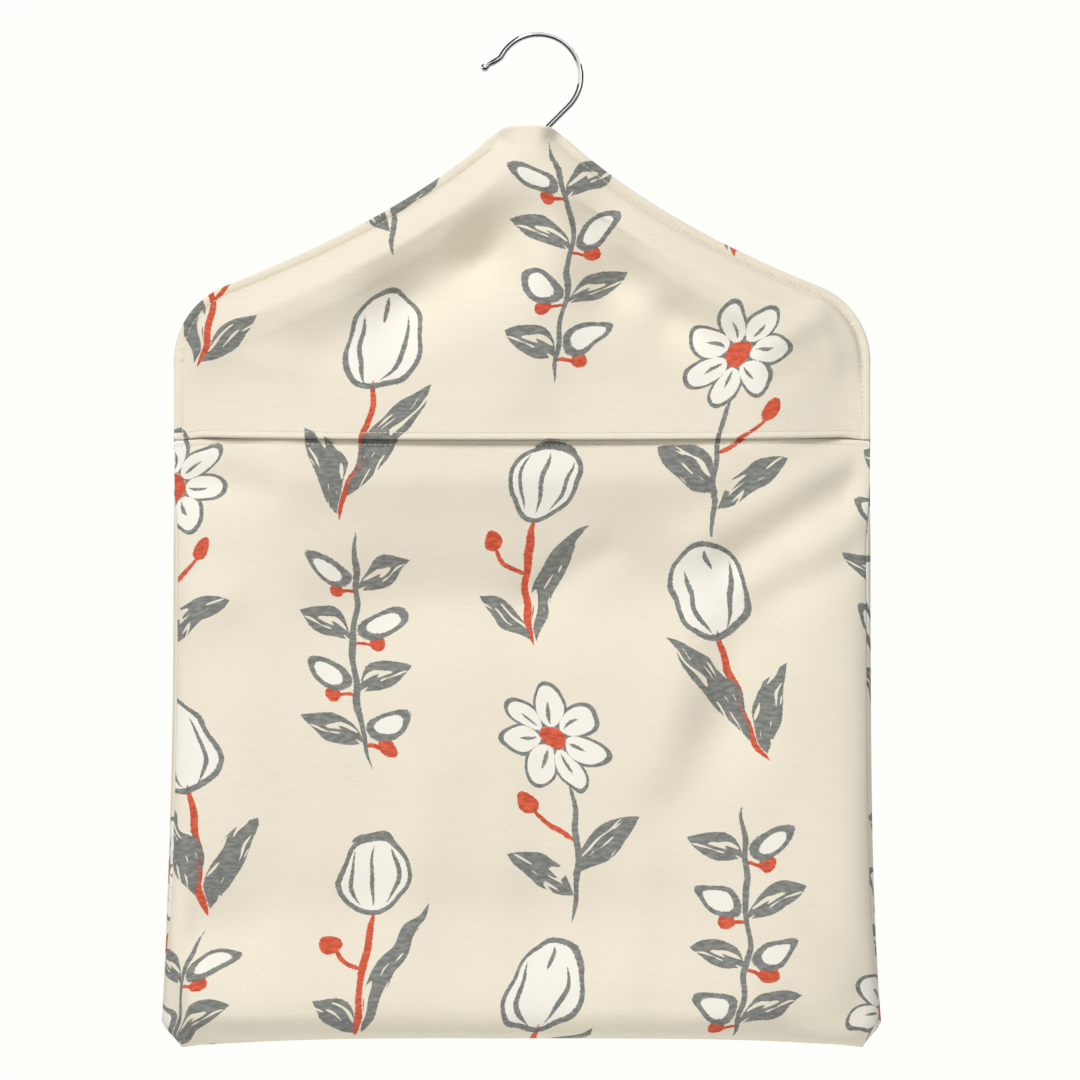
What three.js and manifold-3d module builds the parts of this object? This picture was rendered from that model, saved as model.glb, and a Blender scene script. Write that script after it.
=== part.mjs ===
// Peg bag: a cloth bag sewn round a short wooden hanger, with a swivel hook and a slit to reach in.
// Millimetres, +Z up. The origin is the hook's seat, the inside top of its round, where the line bears.
// X runs along the hanger, the front of the bag faces -Y and the stem turns about the Z axis.
import * as THREE from "three";
import { mergeVertices } from "three/addons/utils/BufferGeometryUtils.js";
import Module from "manifold-3d";

const wasm = await Module();
wasm.setup();

const degree = Math.PI / 180;

// Fits
const seatGap = 0.3; // between pieces that bear on each other
const stemClearance = 0.35; // round the turning stem, on the radius
const cutOverrun = 2; // how far a cutting tool runs past the face

// Hook wire
const wireDia = 2.7;
const hookInnerRadius = 17.5;
const slantAngle = 45 * degree; // of the straight run, from the upright stem
const stemBendRadius = 6;
const roundEndAngle = 151 * degree; // where the round stops, counted from +X
const tipBendRadius = 4;
const tipTurn = 30 * degree; // the tip bends back outwards by this much
const tipLength = 6.9;
const ballDia = 3.9;
const wireSides = 12;
const wireStep = 2; // length of one facet along the wire

// Riveted end of the stem and its washer
const rivetDia = 5.6;
const rivetHeight = 2.2;
const washerDia = 9;
const washerThickness = 1;

// Hanger: two arms finger-jointed under the hook
const hangerThickness = 12;
const hangerHalfLength = 134;
const hangerDrop = 5.8; // from the bend of the wire down to the hanger's top
const hangerNeckHalf = 8;
const hangerNeckDepth = 22;
const hangerEdgeRadius = 3;
const armEndDepth = 14;
const fingerCount = 5;
const fingerLength = 9;
const washerNotchWidth = 13;
const washerNotchHeight = 8;
const edgeSteps = 12;
const searchSteps = 30; // halvings when a place on a curve is looked for

// Cloth
const clothWall = 1;
const hemDepth = 3.2;
const hemWall = 1.8;
const flangeWidth = 4.4; // the topstitched edge of the yoke
const flangeRise = 6; // over this width the cloth rounds up from the flange on to the arm
const armInset = 4.2; // from the flange's seam down to the arm's top edge
const seamGroove = 1.1; // along the pocket's side seams
const baseSeamGap = 1; // along the middle of the base

// Bag, seen from the front
const bagOffset = -7.3; // the loose bag hangs this far to one side of the hook
const neckLean = 3; // its neck is this much nearer to the hook than its sides
const neckRise = 4.6; // the neck's top above the bend of the wire
const neckHalfWidth = 11.2;
const neckRounding = 2.5; // of its two corners
const neckSlope = 44 * degree;
const shoulderSlope = 21.5 * degree;
const shoulderDrop = 71;
const shoulderRadius = 36;
const neckOpeningDrop = 7; // front and back are left unsewn down to here
const halfWidth = 155;
const baseHalfWidth = 160;
const bagHeight = 408.4;
const slitDrop = 139.7;
const slitDroop = 1.6; // the yoke's hem sags at the middle
const cornerCut = 9.2; // boxed corner, seen from the front
const bottomBow = 4.4; // the base rises at the middle
const baseTilt = 1.5; // and is lower at the back
const seamInset = 2; // the back rolls forward round the pocket's side seams

// Bag, from front to back
const neckDepth = 9; // outside of the cloth from the middle plane, where the hook comes out
const neckSpread = 34;
const valleyDepth = 3.6; // the yoke falls in under the arms
const backValleyDepth = 1.5;
const coneHalfWidth = 46; // and stays full under the neck
const mouthDepth = 9.5; // pocket's top edge in front of the middle plane
const mouthGape = 8; // the yoke's hem hangs this far in front of it
const mouthOverlap = 1;
const mouthEndGap = 0.6;
const mouthEndWidth = 24; // at each end of the slit the hems part only this little
const bellyDepth = 23;
const baseAxisShift = 8; // the side seams run forward to the middle of the base
const backDepth = 9;
const baseBackDepth = 14;
const creaseRadius = 10; // round the base's edge, and as high as a boxed corner is cut
const wrapRun = 10; // below the slit the flange turns into the rolled side seam
const flareRun = 190;
const flarePowers = { left: 2, right: 3.5 }; // how late the sides flare towards the base
const seamFade = 60; // above the base the seam goes round to the side of the bag

// Share of the hanger's depth that the arms' lower edge takes near the neck
const armBandShares = { middle: 1.62, end: 1.45 };
const crossPower = 6; // how square the bag's cross-section is
const boxedPower = 0.6; // and how upright its side walls stand at the base, below 1
const slopeColumns = 9;
const shoulderColumns = 6;
const neckColumns = 2;

const wireRadius = wireDia / 2;
const roundRadius = hookInnerRadius + wireRadius;
const roundCentreZ = -hookInnerRadius;
const slantRootZ = roundCentreZ - roundRadius / Math.sin(slantAngle);
const hangerTopZ = slantRootZ - hangerDrop;
const notchTopZ = hangerTopZ - hangerNeckDepth + washerNotchHeight;
const washerTopZ = notchTopZ - seatGap;
const rivetTopZ = washerTopZ - washerThickness - seatGap;
const rivetBottomZ = rivetTopZ - rivetHeight;
const boreRadius = wireRadius + stemClearance;
const armDepth = hangerThickness / 2 + seatGap + clothWall;
const clothFace = seatGap / 2 + clothWall; // outside of one layer of the flange
const neckTopZ = slantRootZ + neckRise;
const slitZ = neckTopZ - slitDrop;
const bottomZ = neckTopZ - bagHeight;
const shoulderX = halfWidth - shoulderRadius * (1 - Math.sin(shoulderSlope));

const clamp01 = (t) => Math.min(1, Math.max(0, t));
const smooth = (t) => clamp01(t) ** 2 * (3 - 2 * clamp01(t));
const mix = (a, b, t) => a + (b - a) * t;
const quarterRound = (t) => Math.sqrt(1 - (1 - clamp01(t)) ** 2);

// Finishes

const finish = (name, color, roughness, metalness) =>
  new THREE.MeshStandardMaterial({ name, color, roughness, metalness });
const chromedWire = () => finish("chromed_wire", 0xc9ccce, 0.16, 1);
const platedSteel = () => finish("plated_steel", 0xb4b6b4, 0.35, 1);
const paleWood = () => finish("pale_wood", 0xd9b98c, 0.55, 0);
const printedCotton = () => finish("printed_cotton", 0xe5ddcb, 0.85, 0);

function named(name, geometry, material) {
  const mesh = new THREE.Mesh(geometry, material);
  mesh.name = name;
  return mesh;
}

// Solids

function toSolid(geometry) {
  const bare = geometry.clone();
  bare.deleteAttribute("normal");
  bare.deleteAttribute("uv");
  const merged = mergeVertices(bare, 1e-4);
  return new wasm.Manifold(
    new wasm.Mesh({
      numProp: 3,
      vertProperties: merged.attributes.position.array,
      triVerts: new Uint32Array(merged.index.array),
    }),
  );
}

function toGeometry(solid) {
  const mesh = solid.getMesh();
  const geometry = new THREE.BufferGeometry();
  geometry.setAttribute("position", new THREE.BufferAttribute(mesh.vertProperties, 3));
  geometry.setIndex(new THREE.BufferAttribute(mesh.triVerts, 1));
  geometry.computeVertexNormals();
  return geometry;
}

function upright(geometry, x, y, z) {
  return geometry.rotateX(Math.PI / 2).translate(x, y, z);
}

// Hook

// A flat drawing in X and Z, read as a curve in space.
class FlatRoute extends THREE.Curve {
  constructor(path) {
    super();
    this.path = path;
  }
  getPoint(t) {
    const point = this.path.getPointAt(t);
    return new THREE.Vector3(point.x, 0, point.y);
  }
}

function hookRoute() {
  const route = new THREE.Path();
  const stemBendZ = slantRootZ - stemBendRadius * Math.tan(slantAngle / 2);
  route.moveTo(0, rivetTopZ - rivetHeight / 2);
  route.lineTo(0, stemBendZ);
  route.absarc(stemBendRadius, stemBendZ, stemBendRadius, Math.PI, Math.PI - slantAngle, true);
  route.absarc(0, roundCentreZ, roundRadius, -slantAngle, roundEndAngle, false);
  const outX = Math.cos(roundEndAngle);
  const outZ = Math.sin(roundEndAngle);
  const tipCentreX = outX * (roundRadius + tipBendRadius);
  const tipCentreZ = roundCentreZ + outZ * (roundRadius + tipBendRadius);
  const tipStart = roundEndAngle - Math.PI;
  route.absarc(tipCentreX, tipCentreZ, tipBendRadius, tipStart, tipStart - tipTurn, true);
  const heading = roundEndAngle + Math.PI / 2 - tipTurn;
  const end = route.currentPoint;
  route.lineTo(end.x + Math.cos(heading) * tipLength, end.y + Math.sin(heading) * tipLength);
  return route;
}

function hookGeometry() {
  const path = hookRoute();
  const section = new THREE.Shape();
  for (let side = 0; side < wireSides; side++) {
    const angle = (side * 2 * Math.PI) / wireSides;
    const point = [wireRadius * Math.cos(angle), wireRadius * Math.sin(angle)];
    if (side === 0) section.moveTo(...point);
    else section.lineTo(...point);
  }
  const wire = new THREE.ExtrudeGeometry(section, {
    steps: Math.round(path.getLength() / wireStep),
    extrudePath: new FlatRoute(path),
  });
  const tip = path.getPointAt(1);
  const ball = new THREE.SphereGeometry(ballDia / 2, wireSides, wireSides / 2).translate(tip.x, 0, tip.y);
  const rivetRadius = rivetDia / 2;
  const rivetProfile = [
    new THREE.Vector2(0, 0),
    new THREE.Vector2(rivetRadius * 0.7, 0),
    new THREE.Vector2(rivetRadius, rivetHeight * 0.45),
    new THREE.Vector2(rivetRadius, rivetHeight),
    new THREE.Vector2(0, rivetHeight),
  ];
  const rivet = upright(new THREE.LatheGeometry(rivetProfile, wireSides), 0, 0, rivetBottomZ);
  return toGeometry(toSolid(wire).add(toSolid(ball)).add(toSolid(rivet)));
}

function washerGeometry() {
  const inner = boreRadius;
  const outer = washerDia / 2;
  const profile = [
    new THREE.Vector2(inner, 0),
    new THREE.Vector2(outer, 0),
    new THREE.Vector2(outer, washerThickness),
    new THREE.Vector2(inner, washerThickness),
    new THREE.Vector2(inner, 0),
  ];
  return upright(new THREE.LatheGeometry(profile, wireSides * 2), 0, 0, washerTopZ - washerThickness);
}

// Bag outline, in X from the bag's own middle and Z

// One slope of the yoke from the neck to the side, right for side 1 and left for side -1.
function slopeRoute(side) {
  const start = new THREE.Vector2(neckHalfWidth + side * neckLean, neckTopZ);
  const end = new THREE.Vector2(shoulderX, neckTopZ - shoulderDrop);
  const run = end.x - start.x;
  const fall = start.y - end.y;
  const turn = Math.sin(neckSlope - shoulderSlope);
  const reach = (fall * Math.cos(shoulderSlope) - run * Math.sin(shoulderSlope)) / turn;
  const cornerX = start.x + reach * Math.cos(neckSlope);
  const cornerZ = start.y - reach * Math.sin(neckSlope);
  return new THREE.QuadraticBezierCurve(start, new THREE.Vector2(cornerX, cornerZ), end);
}

// How far the rounded corners of the neck drop below its straight lines.
function cornerDrop(x) {
  const beyond = Math.abs(x - neckLean) - neckHalfWidth;
  return (Math.tan(neckSlope) * (Math.hypot(beyond, neckRounding) - Math.abs(beyond))) / 2;
}

// The yoke's upper edge from one side to the other, as a list of points with its column kind.
function upperEdge() {
  const half = (side) => {
    const slope = slopeRoute(side);
    const points = [];
    for (let i = 1; i < slopeColumns; i++) {
      points.push({ point: slope.getPoint(i / slopeColumns), rim: 0 });
    }
    for (let i = 0; i <= shoulderColumns; i++) {
      const angle = mix(Math.PI / 2 - shoulderSlope, 0, i / shoulderColumns);
      const x = halfWidth - shoulderRadius * (1 - Math.cos(angle));
      const z = neckTopZ - shoulderDrop - shoulderRadius * (Math.cos(shoulderSlope) - Math.sin(angle));
      points.push({ point: new THREE.Vector2(x, z), rim: i / shoulderColumns });
    }
    return points.map(({ point, rim }) => ({ x: side * point.x, z: point.y, rim, side }));
  };
  const neck = [];
  for (let i = -neckColumns; i <= neckColumns; i++) {
    const x = neckLean + (i / neckColumns) * neckHalfWidth;
    neck.push({ x, z: neckTopZ, rim: 0, side: Math.sign(i) || 1 });
  }
  const all = [...half(-1).reverse(), ...neck, ...half(1)];
  return all.map((column) => ({ ...column, z: column.z - cornerDrop(column.x) }));
}

const columns = upperEdge();

// Distance from a point to the sewn edge: both slopes below the neck's opening, and both sides.
function seamDistance(x, z) {
  const seamTop = neckTopZ - neckOpeningDrop;
  let nearest = halfWidth - Math.abs(x);
  for (let i = 1; i < columns.length; i++) {
    let a = columns[i - 1];
    let b = columns[i];
    if (a.z > b.z) [a, b] = [b, a];
    if (a.z >= seamTop) continue;
    const share = b.z > seamTop ? (seamTop - a.z) / (b.z - a.z) : 1;
    const runX = (b.x - a.x) * share;
    const runZ = (b.z - a.z) * share;
    const along = clamp01(((x - a.x) * runX + (z - a.z) * runZ) / (runX ** 2 + runZ ** 2));
    nearest = Math.min(nearest, Math.hypot(x - a.x - along * runX, z - a.z - along * runZ));
  }
  return nearest;
}

// Cloth surfaces

const crossShape = (share) => Math.sqrt(1 - Math.min(1, Math.abs(share)) ** crossPower);

// The yoke's hem: how far its outside hangs in front of the middle plane.
function hemFront(x) {
  const share = x / halfWidth;
  return mouthDepth * crossShape(share) + seatGap + hemWall + mouthGape * (1 - share ** 2);
}

function slitHeight(x) {
  return slitZ + slitDroop * (Math.abs(x) / halfWidth) ** 3;
}

// Outside of the upper cloth at a point, measured from the middle plane.
function upperDepth(x, z, topZ, hem, valley) {
  const middleShare = 1 - clamp01(Math.abs(x) / hangerHalfLength);
  const band = hangerNeckDepth * mix(armBandShares.end, armBandShares.middle, middleShare);
  const fallen = topZ - z;
  const below = clamp01((fallen - band) / Math.max(topZ - slitZ - band, hemDepth));
  const nearNeck = 1 - smooth(Math.hypot(x - neckLean, fallen) / neckSpread);
  const overArm = mix(armDepth, neckDepth, nearNeck);
  const hollow = valley * smooth((Math.abs(x) - coneHalfWidth / 2) / coneHalfWidth);
  const full = mix(overArm, hem, smooth(below)) - hollow * Math.sin(Math.PI * Math.sqrt(below)) ** 2;
  const lift = quarterRound((seamDistance(x, z) - flangeWidth) / flangeRise);
  return mix(clothFace, full, lift);
}

// Points down one column of the yoke: close together at the flange and the hem.
function yokeRows(column, lowZ, count) {
  const tilt = Math.min(2, 1 / Math.cos(Math.atan(slopeAt(column))));
  const flange = flangeWidth * tilt;
  const rise = flangeRise * tilt;
  const first = [0, flange / 2, flange, flange + rise * 0.25, flange + rise * 0.6, flange + rise];
  const height = column.z - lowZ;
  const fit = Math.min(1, height / 3 / first[first.length - 1]);
  const rows = first.map((drop) => column.z - drop * fit);
  const start = rows[rows.length - 1];
  for (let i = 1; i <= count; i++) rows.push(mix(start, lowZ, i / count));
  return rows;
}

function slopeAt(column) {
  const i = columns.indexOf(column);
  const a = columns[Math.max(0, i - 1)];
  const b = columns[Math.min(columns.length - 1, i + 1)];
  return (b.z - a.z) / (b.x - a.x);
}

// A closed sheet: the outside given as rows of points, the inside one wall behind it.
function sheetGeometry(rows, outward, wallAt) {
  const high = rows.length;
  const wide = rows[0].length;
  const positions = [];
  const inner = [];
  const across = new THREE.Vector3();
  const down = new THREE.Vector3();
  rows.forEach((row, r) =>
    row.forEach((point, c) => {
      across.subVectors(row[Math.min(c + 1, wide - 1)], row[Math.max(c - 1, 0)]);
      down.subVectors(rows[Math.min(r + 1, high - 1)][c], rows[Math.max(r - 1, 0)][c]);
      const normal = across.clone().cross(down).normalize().multiplyScalar(outward);
      positions.push(...point.toArray());
      inner.push(...point.clone().addScaledVector(normal, -wallAt(r, c)).toArray());
    }),
  );
  const count = high * wide;
  const index = [];
  const quad = (a, b, c, d) => {
    if (outward > 0) index.push(a, b, c, a, c, d);
    else index.push(a, c, b, a, d, c);
  };
  for (let r = 0; r < high - 1; r++) {
    for (let c = 0; c < wide - 1; c++) {
      const a = r * wide + c;
      quad(a, a + 1, a + wide + 1, a + wide);
      quad(count + a, count + a + wide, count + a + wide + 1, count + a + 1);
    }
  }
  for (let c = 0; c < wide - 1; c++) {
    const low = (high - 1) * wide + c;
    quad(c, count + c, count + c + 1, c + 1);
    quad(low, low + 1, count + low + 1, count + low);
  }
  for (let r = 0; r < high - 1; r++) {
    const left = r * wide;
    const right = left + wide - 1;
    quad(left, left + wide, count + left + wide, count + left);
    quad(right, count + right, count + right + wide, right + wide);
  }
  const geometry = new THREE.BufferGeometry();
  geometry.setAttribute("position", new THREE.Float32BufferAttribute([...positions, ...inner], 3));
  geometry.setIndex(index);
  geometry.computeVertexNormals();
  return geometry;
}

const transpose = (table) => table[0].map((_, i) => table.map((row) => row[i]));

function yokeGeometry() {
  const table = columns.map((column) => {
    const low = slitHeight(column.x);
    const heights = yokeRows(column, low + hemDepth, 8);
    heights.push(low + hemDepth * 0.9, low);
    return heights.map((z) => {
      const depth = upperDepth(column.x, z, column.z, hemFront(column.x), valleyDepth);
      return new THREE.Vector3(bagOffset + column.x, -depth, z);
    });
  });
  const rows = transpose(table);
  const last = rows.length - 2;
  return sheetGeometry(rows, -1, (r, c) => (r < last || columns[c].rim > 0.5 ? clothWall : hemWall));
}

// Cross-section of the bag below the slit on one side: half width, depths and the seams' place at a height.
function section(z, side) {
  const down = clamp01((slitZ - z) / (slitZ - bottomZ));
  const flare = clamp01((bottomZ + flareRun - z) / flareRun);
  return {
    half: mix(halfWidth, baseHalfWidth, flare ** (side < 0 ? flarePowers.left : flarePowers.right)),
    front: mix(mouthDepth, bellyDepth, smooth(down * 1.15)),
    back: mix(backDepth, baseBackDepth, smooth(down)),
    axis: -baseAxisShift * smooth(down),
    seam: 1 - smooth((bottomZ + seamFade + creaseRadius - z) / seamFade),
    box: mix(1, boxedPower, smooth(down)),
  };
}

const seamAngle = Math.asin(crossShape(1 - seamInset / halfWidth));

// Angle round the section for a column: 0 at the side, a right angle at the middle.
function columnAngle(column, edgeAngle) {
  const x = column.rim ? shoulderX : Math.abs(column.x);
  const inner = Math.acos(Math.min(1, (x / halfWidth) ** (crossPower / 2)));
  return column.rim ? mix(inner, edgeAngle, column.rim) : inner;
}

// A point of the section, front or back. A negative angle runs round the side on to the other face.
function sectionPoint(side, angle, shape, front, squeeze, z) {
  const x = side * shape.half * Math.cos(angle) ** (2 / crossPower);
  const ownFace = angle > 0;
  const full = ownFace === front ? shape.front : shape.back;
  const depth = full * Math.abs(Math.sin(angle)) ** shape.box * squeeze;
  const y = shape.axis + (ownFace === front ? -depth : depth);
  return new THREE.Vector3(bagOffset + x, y, z);
}

// The front's edge stands one groove in front of the back's, measured along Y.
function grooveAngle(edge, shape) {
  const share = Math.sin(edge) ** shape.box + seamGroove / Math.max(shape.front, seamGroove);
  return Math.asin(Math.min(1, share ** (1 / shape.box)));
}

// Heights of the rows down the bag below the slit, then round the crease and in under the base.
function lowerRows(count) {
  const rows = [];
  const creaseZ = bottomZ + creaseRadius;
  for (let i = 1; i <= count; i++) {
    rows.push({ z: mix(slitZ - wrapRun, creaseZ, i / count), inset: 0, squeeze: 1 });
  }
  for (const turn of [30, 60, 90]) {
    const angle = turn * degree;
    const z = creaseZ - creaseRadius * Math.sin(angle);
    rows.push({ z, inset: creaseRadius * (1 - Math.cos(angle)), squeeze: 1 });
  }
  for (const squeeze of [0.5, 0]) rows.push({ z: bottomZ, inset: creaseRadius, squeeze });
  return rows;
}

function lowerPoint(column, row, front) {
  const shape = section(row.z, column.side);
  const share = column.x / halfWidth;
  const low = smooth(1 - (row.z - bottomZ) / (baseBackDepth + bellyDepth));
  const cut = cornerCut * clamp01((bottomZ + creaseRadius - row.z) / creaseRadius);
  const facing = {
    ...shape,
    half: shape.half - cut,
    front: shape.front - row.inset,
    back: shape.back - row.inset,
  };
  const edge = seamAngle * shape.seam;
  const angle = columnAngle(column, front ? grooveAngle(edge, facing) : -edge);
  const point = sectionPoint(column.side, angle, facing, front, row.squeeze, row.z);
  if (row.squeeze === 0) point.y += (front ? -baseSeamGap : baseSeamGap) / 2;
  point.z += low * bottomBow * (1 - Math.abs(share) ** 3);
  point.z += (low * baseTilt * (shape.axis - point.y)) / (baseBackDepth + bellyDepth);
  return point;
}

function pocketGeometry() {
  const lower = lowerRows(12);
  const table = columns.map((column) => {
    const ends = smooth((halfWidth - Math.abs(column.x)) / mouthEndWidth - 0.4);
    const top = slitHeight(column.x) + mix(-mouthEndGap, mouthOverlap, ends);
    const heights = [top, top - hemDepth * 0.9, top - hemDepth].map((z) => ({ z, inset: 0, squeeze: 1 }));
    return [...heights, ...lower].map((row) => lowerPoint(column, row, true));
  });
  return sheetGeometry(transpose(table), -1, (r) => (r < 2 ? hemWall : clothWall));
}

function backGeometry() {
  const lower = lowerRows(12);
  const backHem = (x) => backDepth * crossShape(x / halfWidth);
  const table = columns.map((column) => {
    const upper = yokeRows(column, slitZ, 8).map((z) => {
      const hem = Math.max(backHem(column.x), armDepth);
      const depth = upperDepth(column.x, z, column.z, hem, backValleyDepth);
      return new THREE.Vector3(bagOffset + column.x, depth, z);
    });
    return [...upper, ...lower.map((row) => lowerPoint(column, row, false))];
  });
  return sheetGeometry(transpose(table), 1, () => clothWall);
}

// Hanger

// Height of the hanger's top edge, which follows the right slope's seam at a set distance.
function hangerTopAt(x) {
  const slope = slopeRoute(1);
  const inset = flangeWidth + armInset;
  const edgePoint = (t) => {
    const point = slope.getPoint(t);
    const tangent = slope.getTangent(t);
    return new THREE.Vector2(point.x + bagOffset + tangent.y * inset, point.y - tangent.x * inset);
  };
  const end = edgePoint(1);
  if (x >= end.x) return end.y - (x - end.x) * Math.tan(shoulderSlope);
  let low = 0;
  let high = 1;
  for (let i = 0; i < searchSteps; i++) {
    const middle = (low + high) / 2;
    if (edgePoint(middle).x < x) low = middle;
    else high = middle;
  }
  return edgePoint((low + high) / 2).y;
}

// Outline of the hanger's right half, drawn in X and Z from its lowest middle point round to the top.
function hangerHalf() {
  const endRadius = armEndDepth / 2;
  const endCentreX = hangerHalfLength - endRadius;
  const topX = endCentreX + endRadius * Math.sin(shoulderSlope);
  const endCentreZ = hangerTopAt(topX) - endRadius * Math.cos(shoulderSlope);
  const lowStart = new THREE.Vector2(washerNotchWidth, hangerTopZ - hangerNeckDepth);
  const lowEndAngle = -Math.PI / 2 - shoulderSlope;
  const lowEndX = endCentreX + endRadius * Math.cos(lowEndAngle);
  const lowEndZ = endCentreZ + endRadius * Math.sin(lowEndAngle);
  const lead = (lowEndX - lowStart.x) / 2;
  const half = new THREE.Path();
  half.moveTo(lowStart.x, lowStart.y);
  half.quadraticCurveTo(lowStart.x + lead, lowEndZ + lead * Math.tan(shoulderSlope), lowEndX, lowEndZ);
  half.absarc(endCentreX, endCentreZ, endRadius, lowEndAngle, Math.PI / 2 - shoulderSlope, false);
  const neckX = hangerNeckHalf + hangerEdgeRadius;
  for (let i = edgeSteps - 1; i >= 0; i--) {
    const x = mix(neckX, topX, i / edgeSteps);
    half.lineTo(x, hangerTopAt(x));
  }
  half.lineTo(hangerNeckHalf, hangerTopZ);
  return half.getPoints(edgeSteps);
}

// The board cut to its outline, with its edges rounded over on both faces.
function hangerBoard() {
  const right = hangerHalf();
  const left = right.map((p) => new THREE.Vector2(-p.x, p.y)).reverse();
  const points = [...right, ...left];
  const corners = points.filter((p, i) => p.distanceTo(points[(i + 1) % points.length]) > wireRadius / 2);
  const board = new THREE.ExtrudeGeometry(new THREE.Shape(corners), {
    depth: hangerThickness - hangerEdgeRadius * 2,
    bevelThickness: hangerEdgeRadius,
    bevelSize: hangerEdgeRadius,
    bevelOffset: -hangerEdgeRadius,
    bevelSegments: 3,
  });
  return toSolid(board.rotateX(Math.PI / 2).translate(0, hangerThickness / 2 - hangerEdgeRadius, 0));
}

// A block over the right arm whose edge runs in and out along the finger joint, grown by a gap.
function fingerBlock(gap) {
  const top = hangerTopZ + cutOverrun;
  const low = hangerTopZ - hangerNeckDepth - cutOverrun;
  const far = hangerHalfLength + cutOverrun;
  const armLow = low - hangerHalfLength;
  const block = new THREE.Shape();
  block.moveTo(far, armLow);
  block.lineTo(far, top);
  const pitch = hangerNeckDepth / fingerCount;
  for (let i = 0; i < fingerCount; i++) {
    const out = i % 2 === 0;
    const x = (out ? -1 : 1) * (fingerLength / 2) - gap;
    const from = i === 0 ? top : hangerTopZ - i * pitch + (out ? gap : -gap);
    const to = i === fingerCount - 1 ? armLow : hangerTopZ - (i + 1) * pitch + (out ? -gap : gap);
    block.lineTo(x, from);
    block.lineTo(x, to);
  }
  const depth = hangerThickness + cutOverrun * 2;
  const cutter = new THREE.ExtrudeGeometry(block, { depth, bevelEnabled: false });
  return toSolid(cutter.rotateX(Math.PI / 2).translate(0, depth / 2, 0));
}

function armSolids() {
  const boreLength = hangerNeckDepth + cutOverrun * 2;
  const bore = new THREE.CylinderGeometry(boreRadius, boreRadius, boreLength, wireSides * 2);
  const boreTool = toSolid(upright(bore, 0, 0, hangerTopZ - hangerNeckDepth / 2));
  const notchThrough = hangerThickness + cutOverrun * 2;
  const notchTool = new THREE.BoxGeometry(washerNotchWidth, notchThrough, washerNotchHeight * 2);
  notchTool.translate(0, 0, notchTopZ - washerNotchHeight);
  const board = hangerBoard().subtract(boreTool).subtract(toSolid(notchTool));
  return { left: board.subtract(fingerBlock(seatGap)), right: board.intersect(fingerBlock(0)) };
}

const pegBag = new THREE.Group();
const hanger = new THREE.Group();
const bag = new THREE.Group();
const arms = armSolids();
hanger.add(
  named("left_arm", toGeometry(arms.left), paleWood()),
  named("right_arm", toGeometry(arms.right), paleWood()),
);
bag.add(
  named("back_panel", backGeometry(), printedCotton()),
  named("front_yoke", yokeGeometry(), printedCotton()),
  named("front_pocket", pocketGeometry(), printedCotton()),
);
pegBag.add(
  named("hook", hookGeometry(), chromedWire()),
  named("hook_washer", washerGeometry(), platedSteel()),
  hanger,
  bag,
);

export default pegBag;
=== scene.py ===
import math

import bmesh
import bpy
import numpy as np
from mathutils import Matrix, Vector
from mathutils.bvhtree import BVHTree


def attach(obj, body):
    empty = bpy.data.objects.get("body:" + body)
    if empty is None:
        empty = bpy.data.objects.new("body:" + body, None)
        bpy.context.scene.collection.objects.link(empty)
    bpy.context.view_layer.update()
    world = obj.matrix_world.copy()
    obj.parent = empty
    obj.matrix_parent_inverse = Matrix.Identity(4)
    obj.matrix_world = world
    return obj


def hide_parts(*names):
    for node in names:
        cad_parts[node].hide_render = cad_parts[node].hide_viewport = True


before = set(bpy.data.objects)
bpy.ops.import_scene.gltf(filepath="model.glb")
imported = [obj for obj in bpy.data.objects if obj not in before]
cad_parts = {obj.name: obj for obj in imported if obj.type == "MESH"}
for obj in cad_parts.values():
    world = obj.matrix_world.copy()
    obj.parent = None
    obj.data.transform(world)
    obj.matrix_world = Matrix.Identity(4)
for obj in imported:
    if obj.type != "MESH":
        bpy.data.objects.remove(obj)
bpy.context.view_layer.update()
print("frame loaded")

mm = 0.001
scene = bpy.context.scene

# small helpers for nodes; a value is a number, a vector, a colour or a wire from another node


class Wire:
    # the output of a node, with which the maths of nodes is written as plain maths
    def __init__(self, tree, socket):
        self.tree = tree
        self.socket = socket

    def calc(self, operation, *terms):
        return outputOf(self.tree, "ShaderNodeMath", dict(enumerate((self, *terms))), operation=operation)

    def __abs__(self):
        return self.calc("ABSOLUTE")

    def __add__(self, other):
        return self.calc("ADD", other)

    def __sub__(self, other):
        return self.calc("SUBTRACT", other)

    def __rsub__(self, other):
        return outputOf(self.tree, "ShaderNodeMath", {0: other, 1: self}, operation="SUBTRACT")

    def __mul__(self, other):
        return self.calc("MULTIPLY", other)

    def __truediv__(self, other):
        return self.calc("DIVIDE", other)

    def __mod__(self, other):
        return self.calc("FLOORED_MODULO", other)

    def __pow__(self, other):
        return self.calc("POWER", other)


def give(sockets, values):
    for name, value in values.items():
        if isinstance(value, Wire):
            value.tree.links.new(value.socket, sockets[name])
        else:
            sockets[name].default_value = value


def addNode(tree, kind, inputs, settings):
    made = tree.nodes.new(kind)
    for name, value in settings.items():
        setattr(made, name, value)
    give(made.inputs, inputs or {})
    return made


def outputOf(tree, kind, inputs=None, output=0, **settings):
    return Wire(tree, addNode(tree, kind, inputs, settings).outputs[output])


def outputsOf(tree, kind, inputs=None, **settings):
    return {made.name: Wire(tree, made) for made in addNode(tree, kind, inputs, settings).outputs}


def vectorCalc(operation, first, *terms):
    inputs = dict(zip((0, "Scale" if operation == "SCALE" else 1), (first, *terms)))
    output = "Value" if operation == "LENGTH" else "Vector"
    return outputOf(first.tree, "ShaderNodeVectorMath", inputs, output, operation=operation)


def vectorOf(x, y, z=0.0):
    return outputOf(x.tree, "ShaderNodeCombineXYZ", {"X": x, "Y": y, "Z": z})


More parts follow.
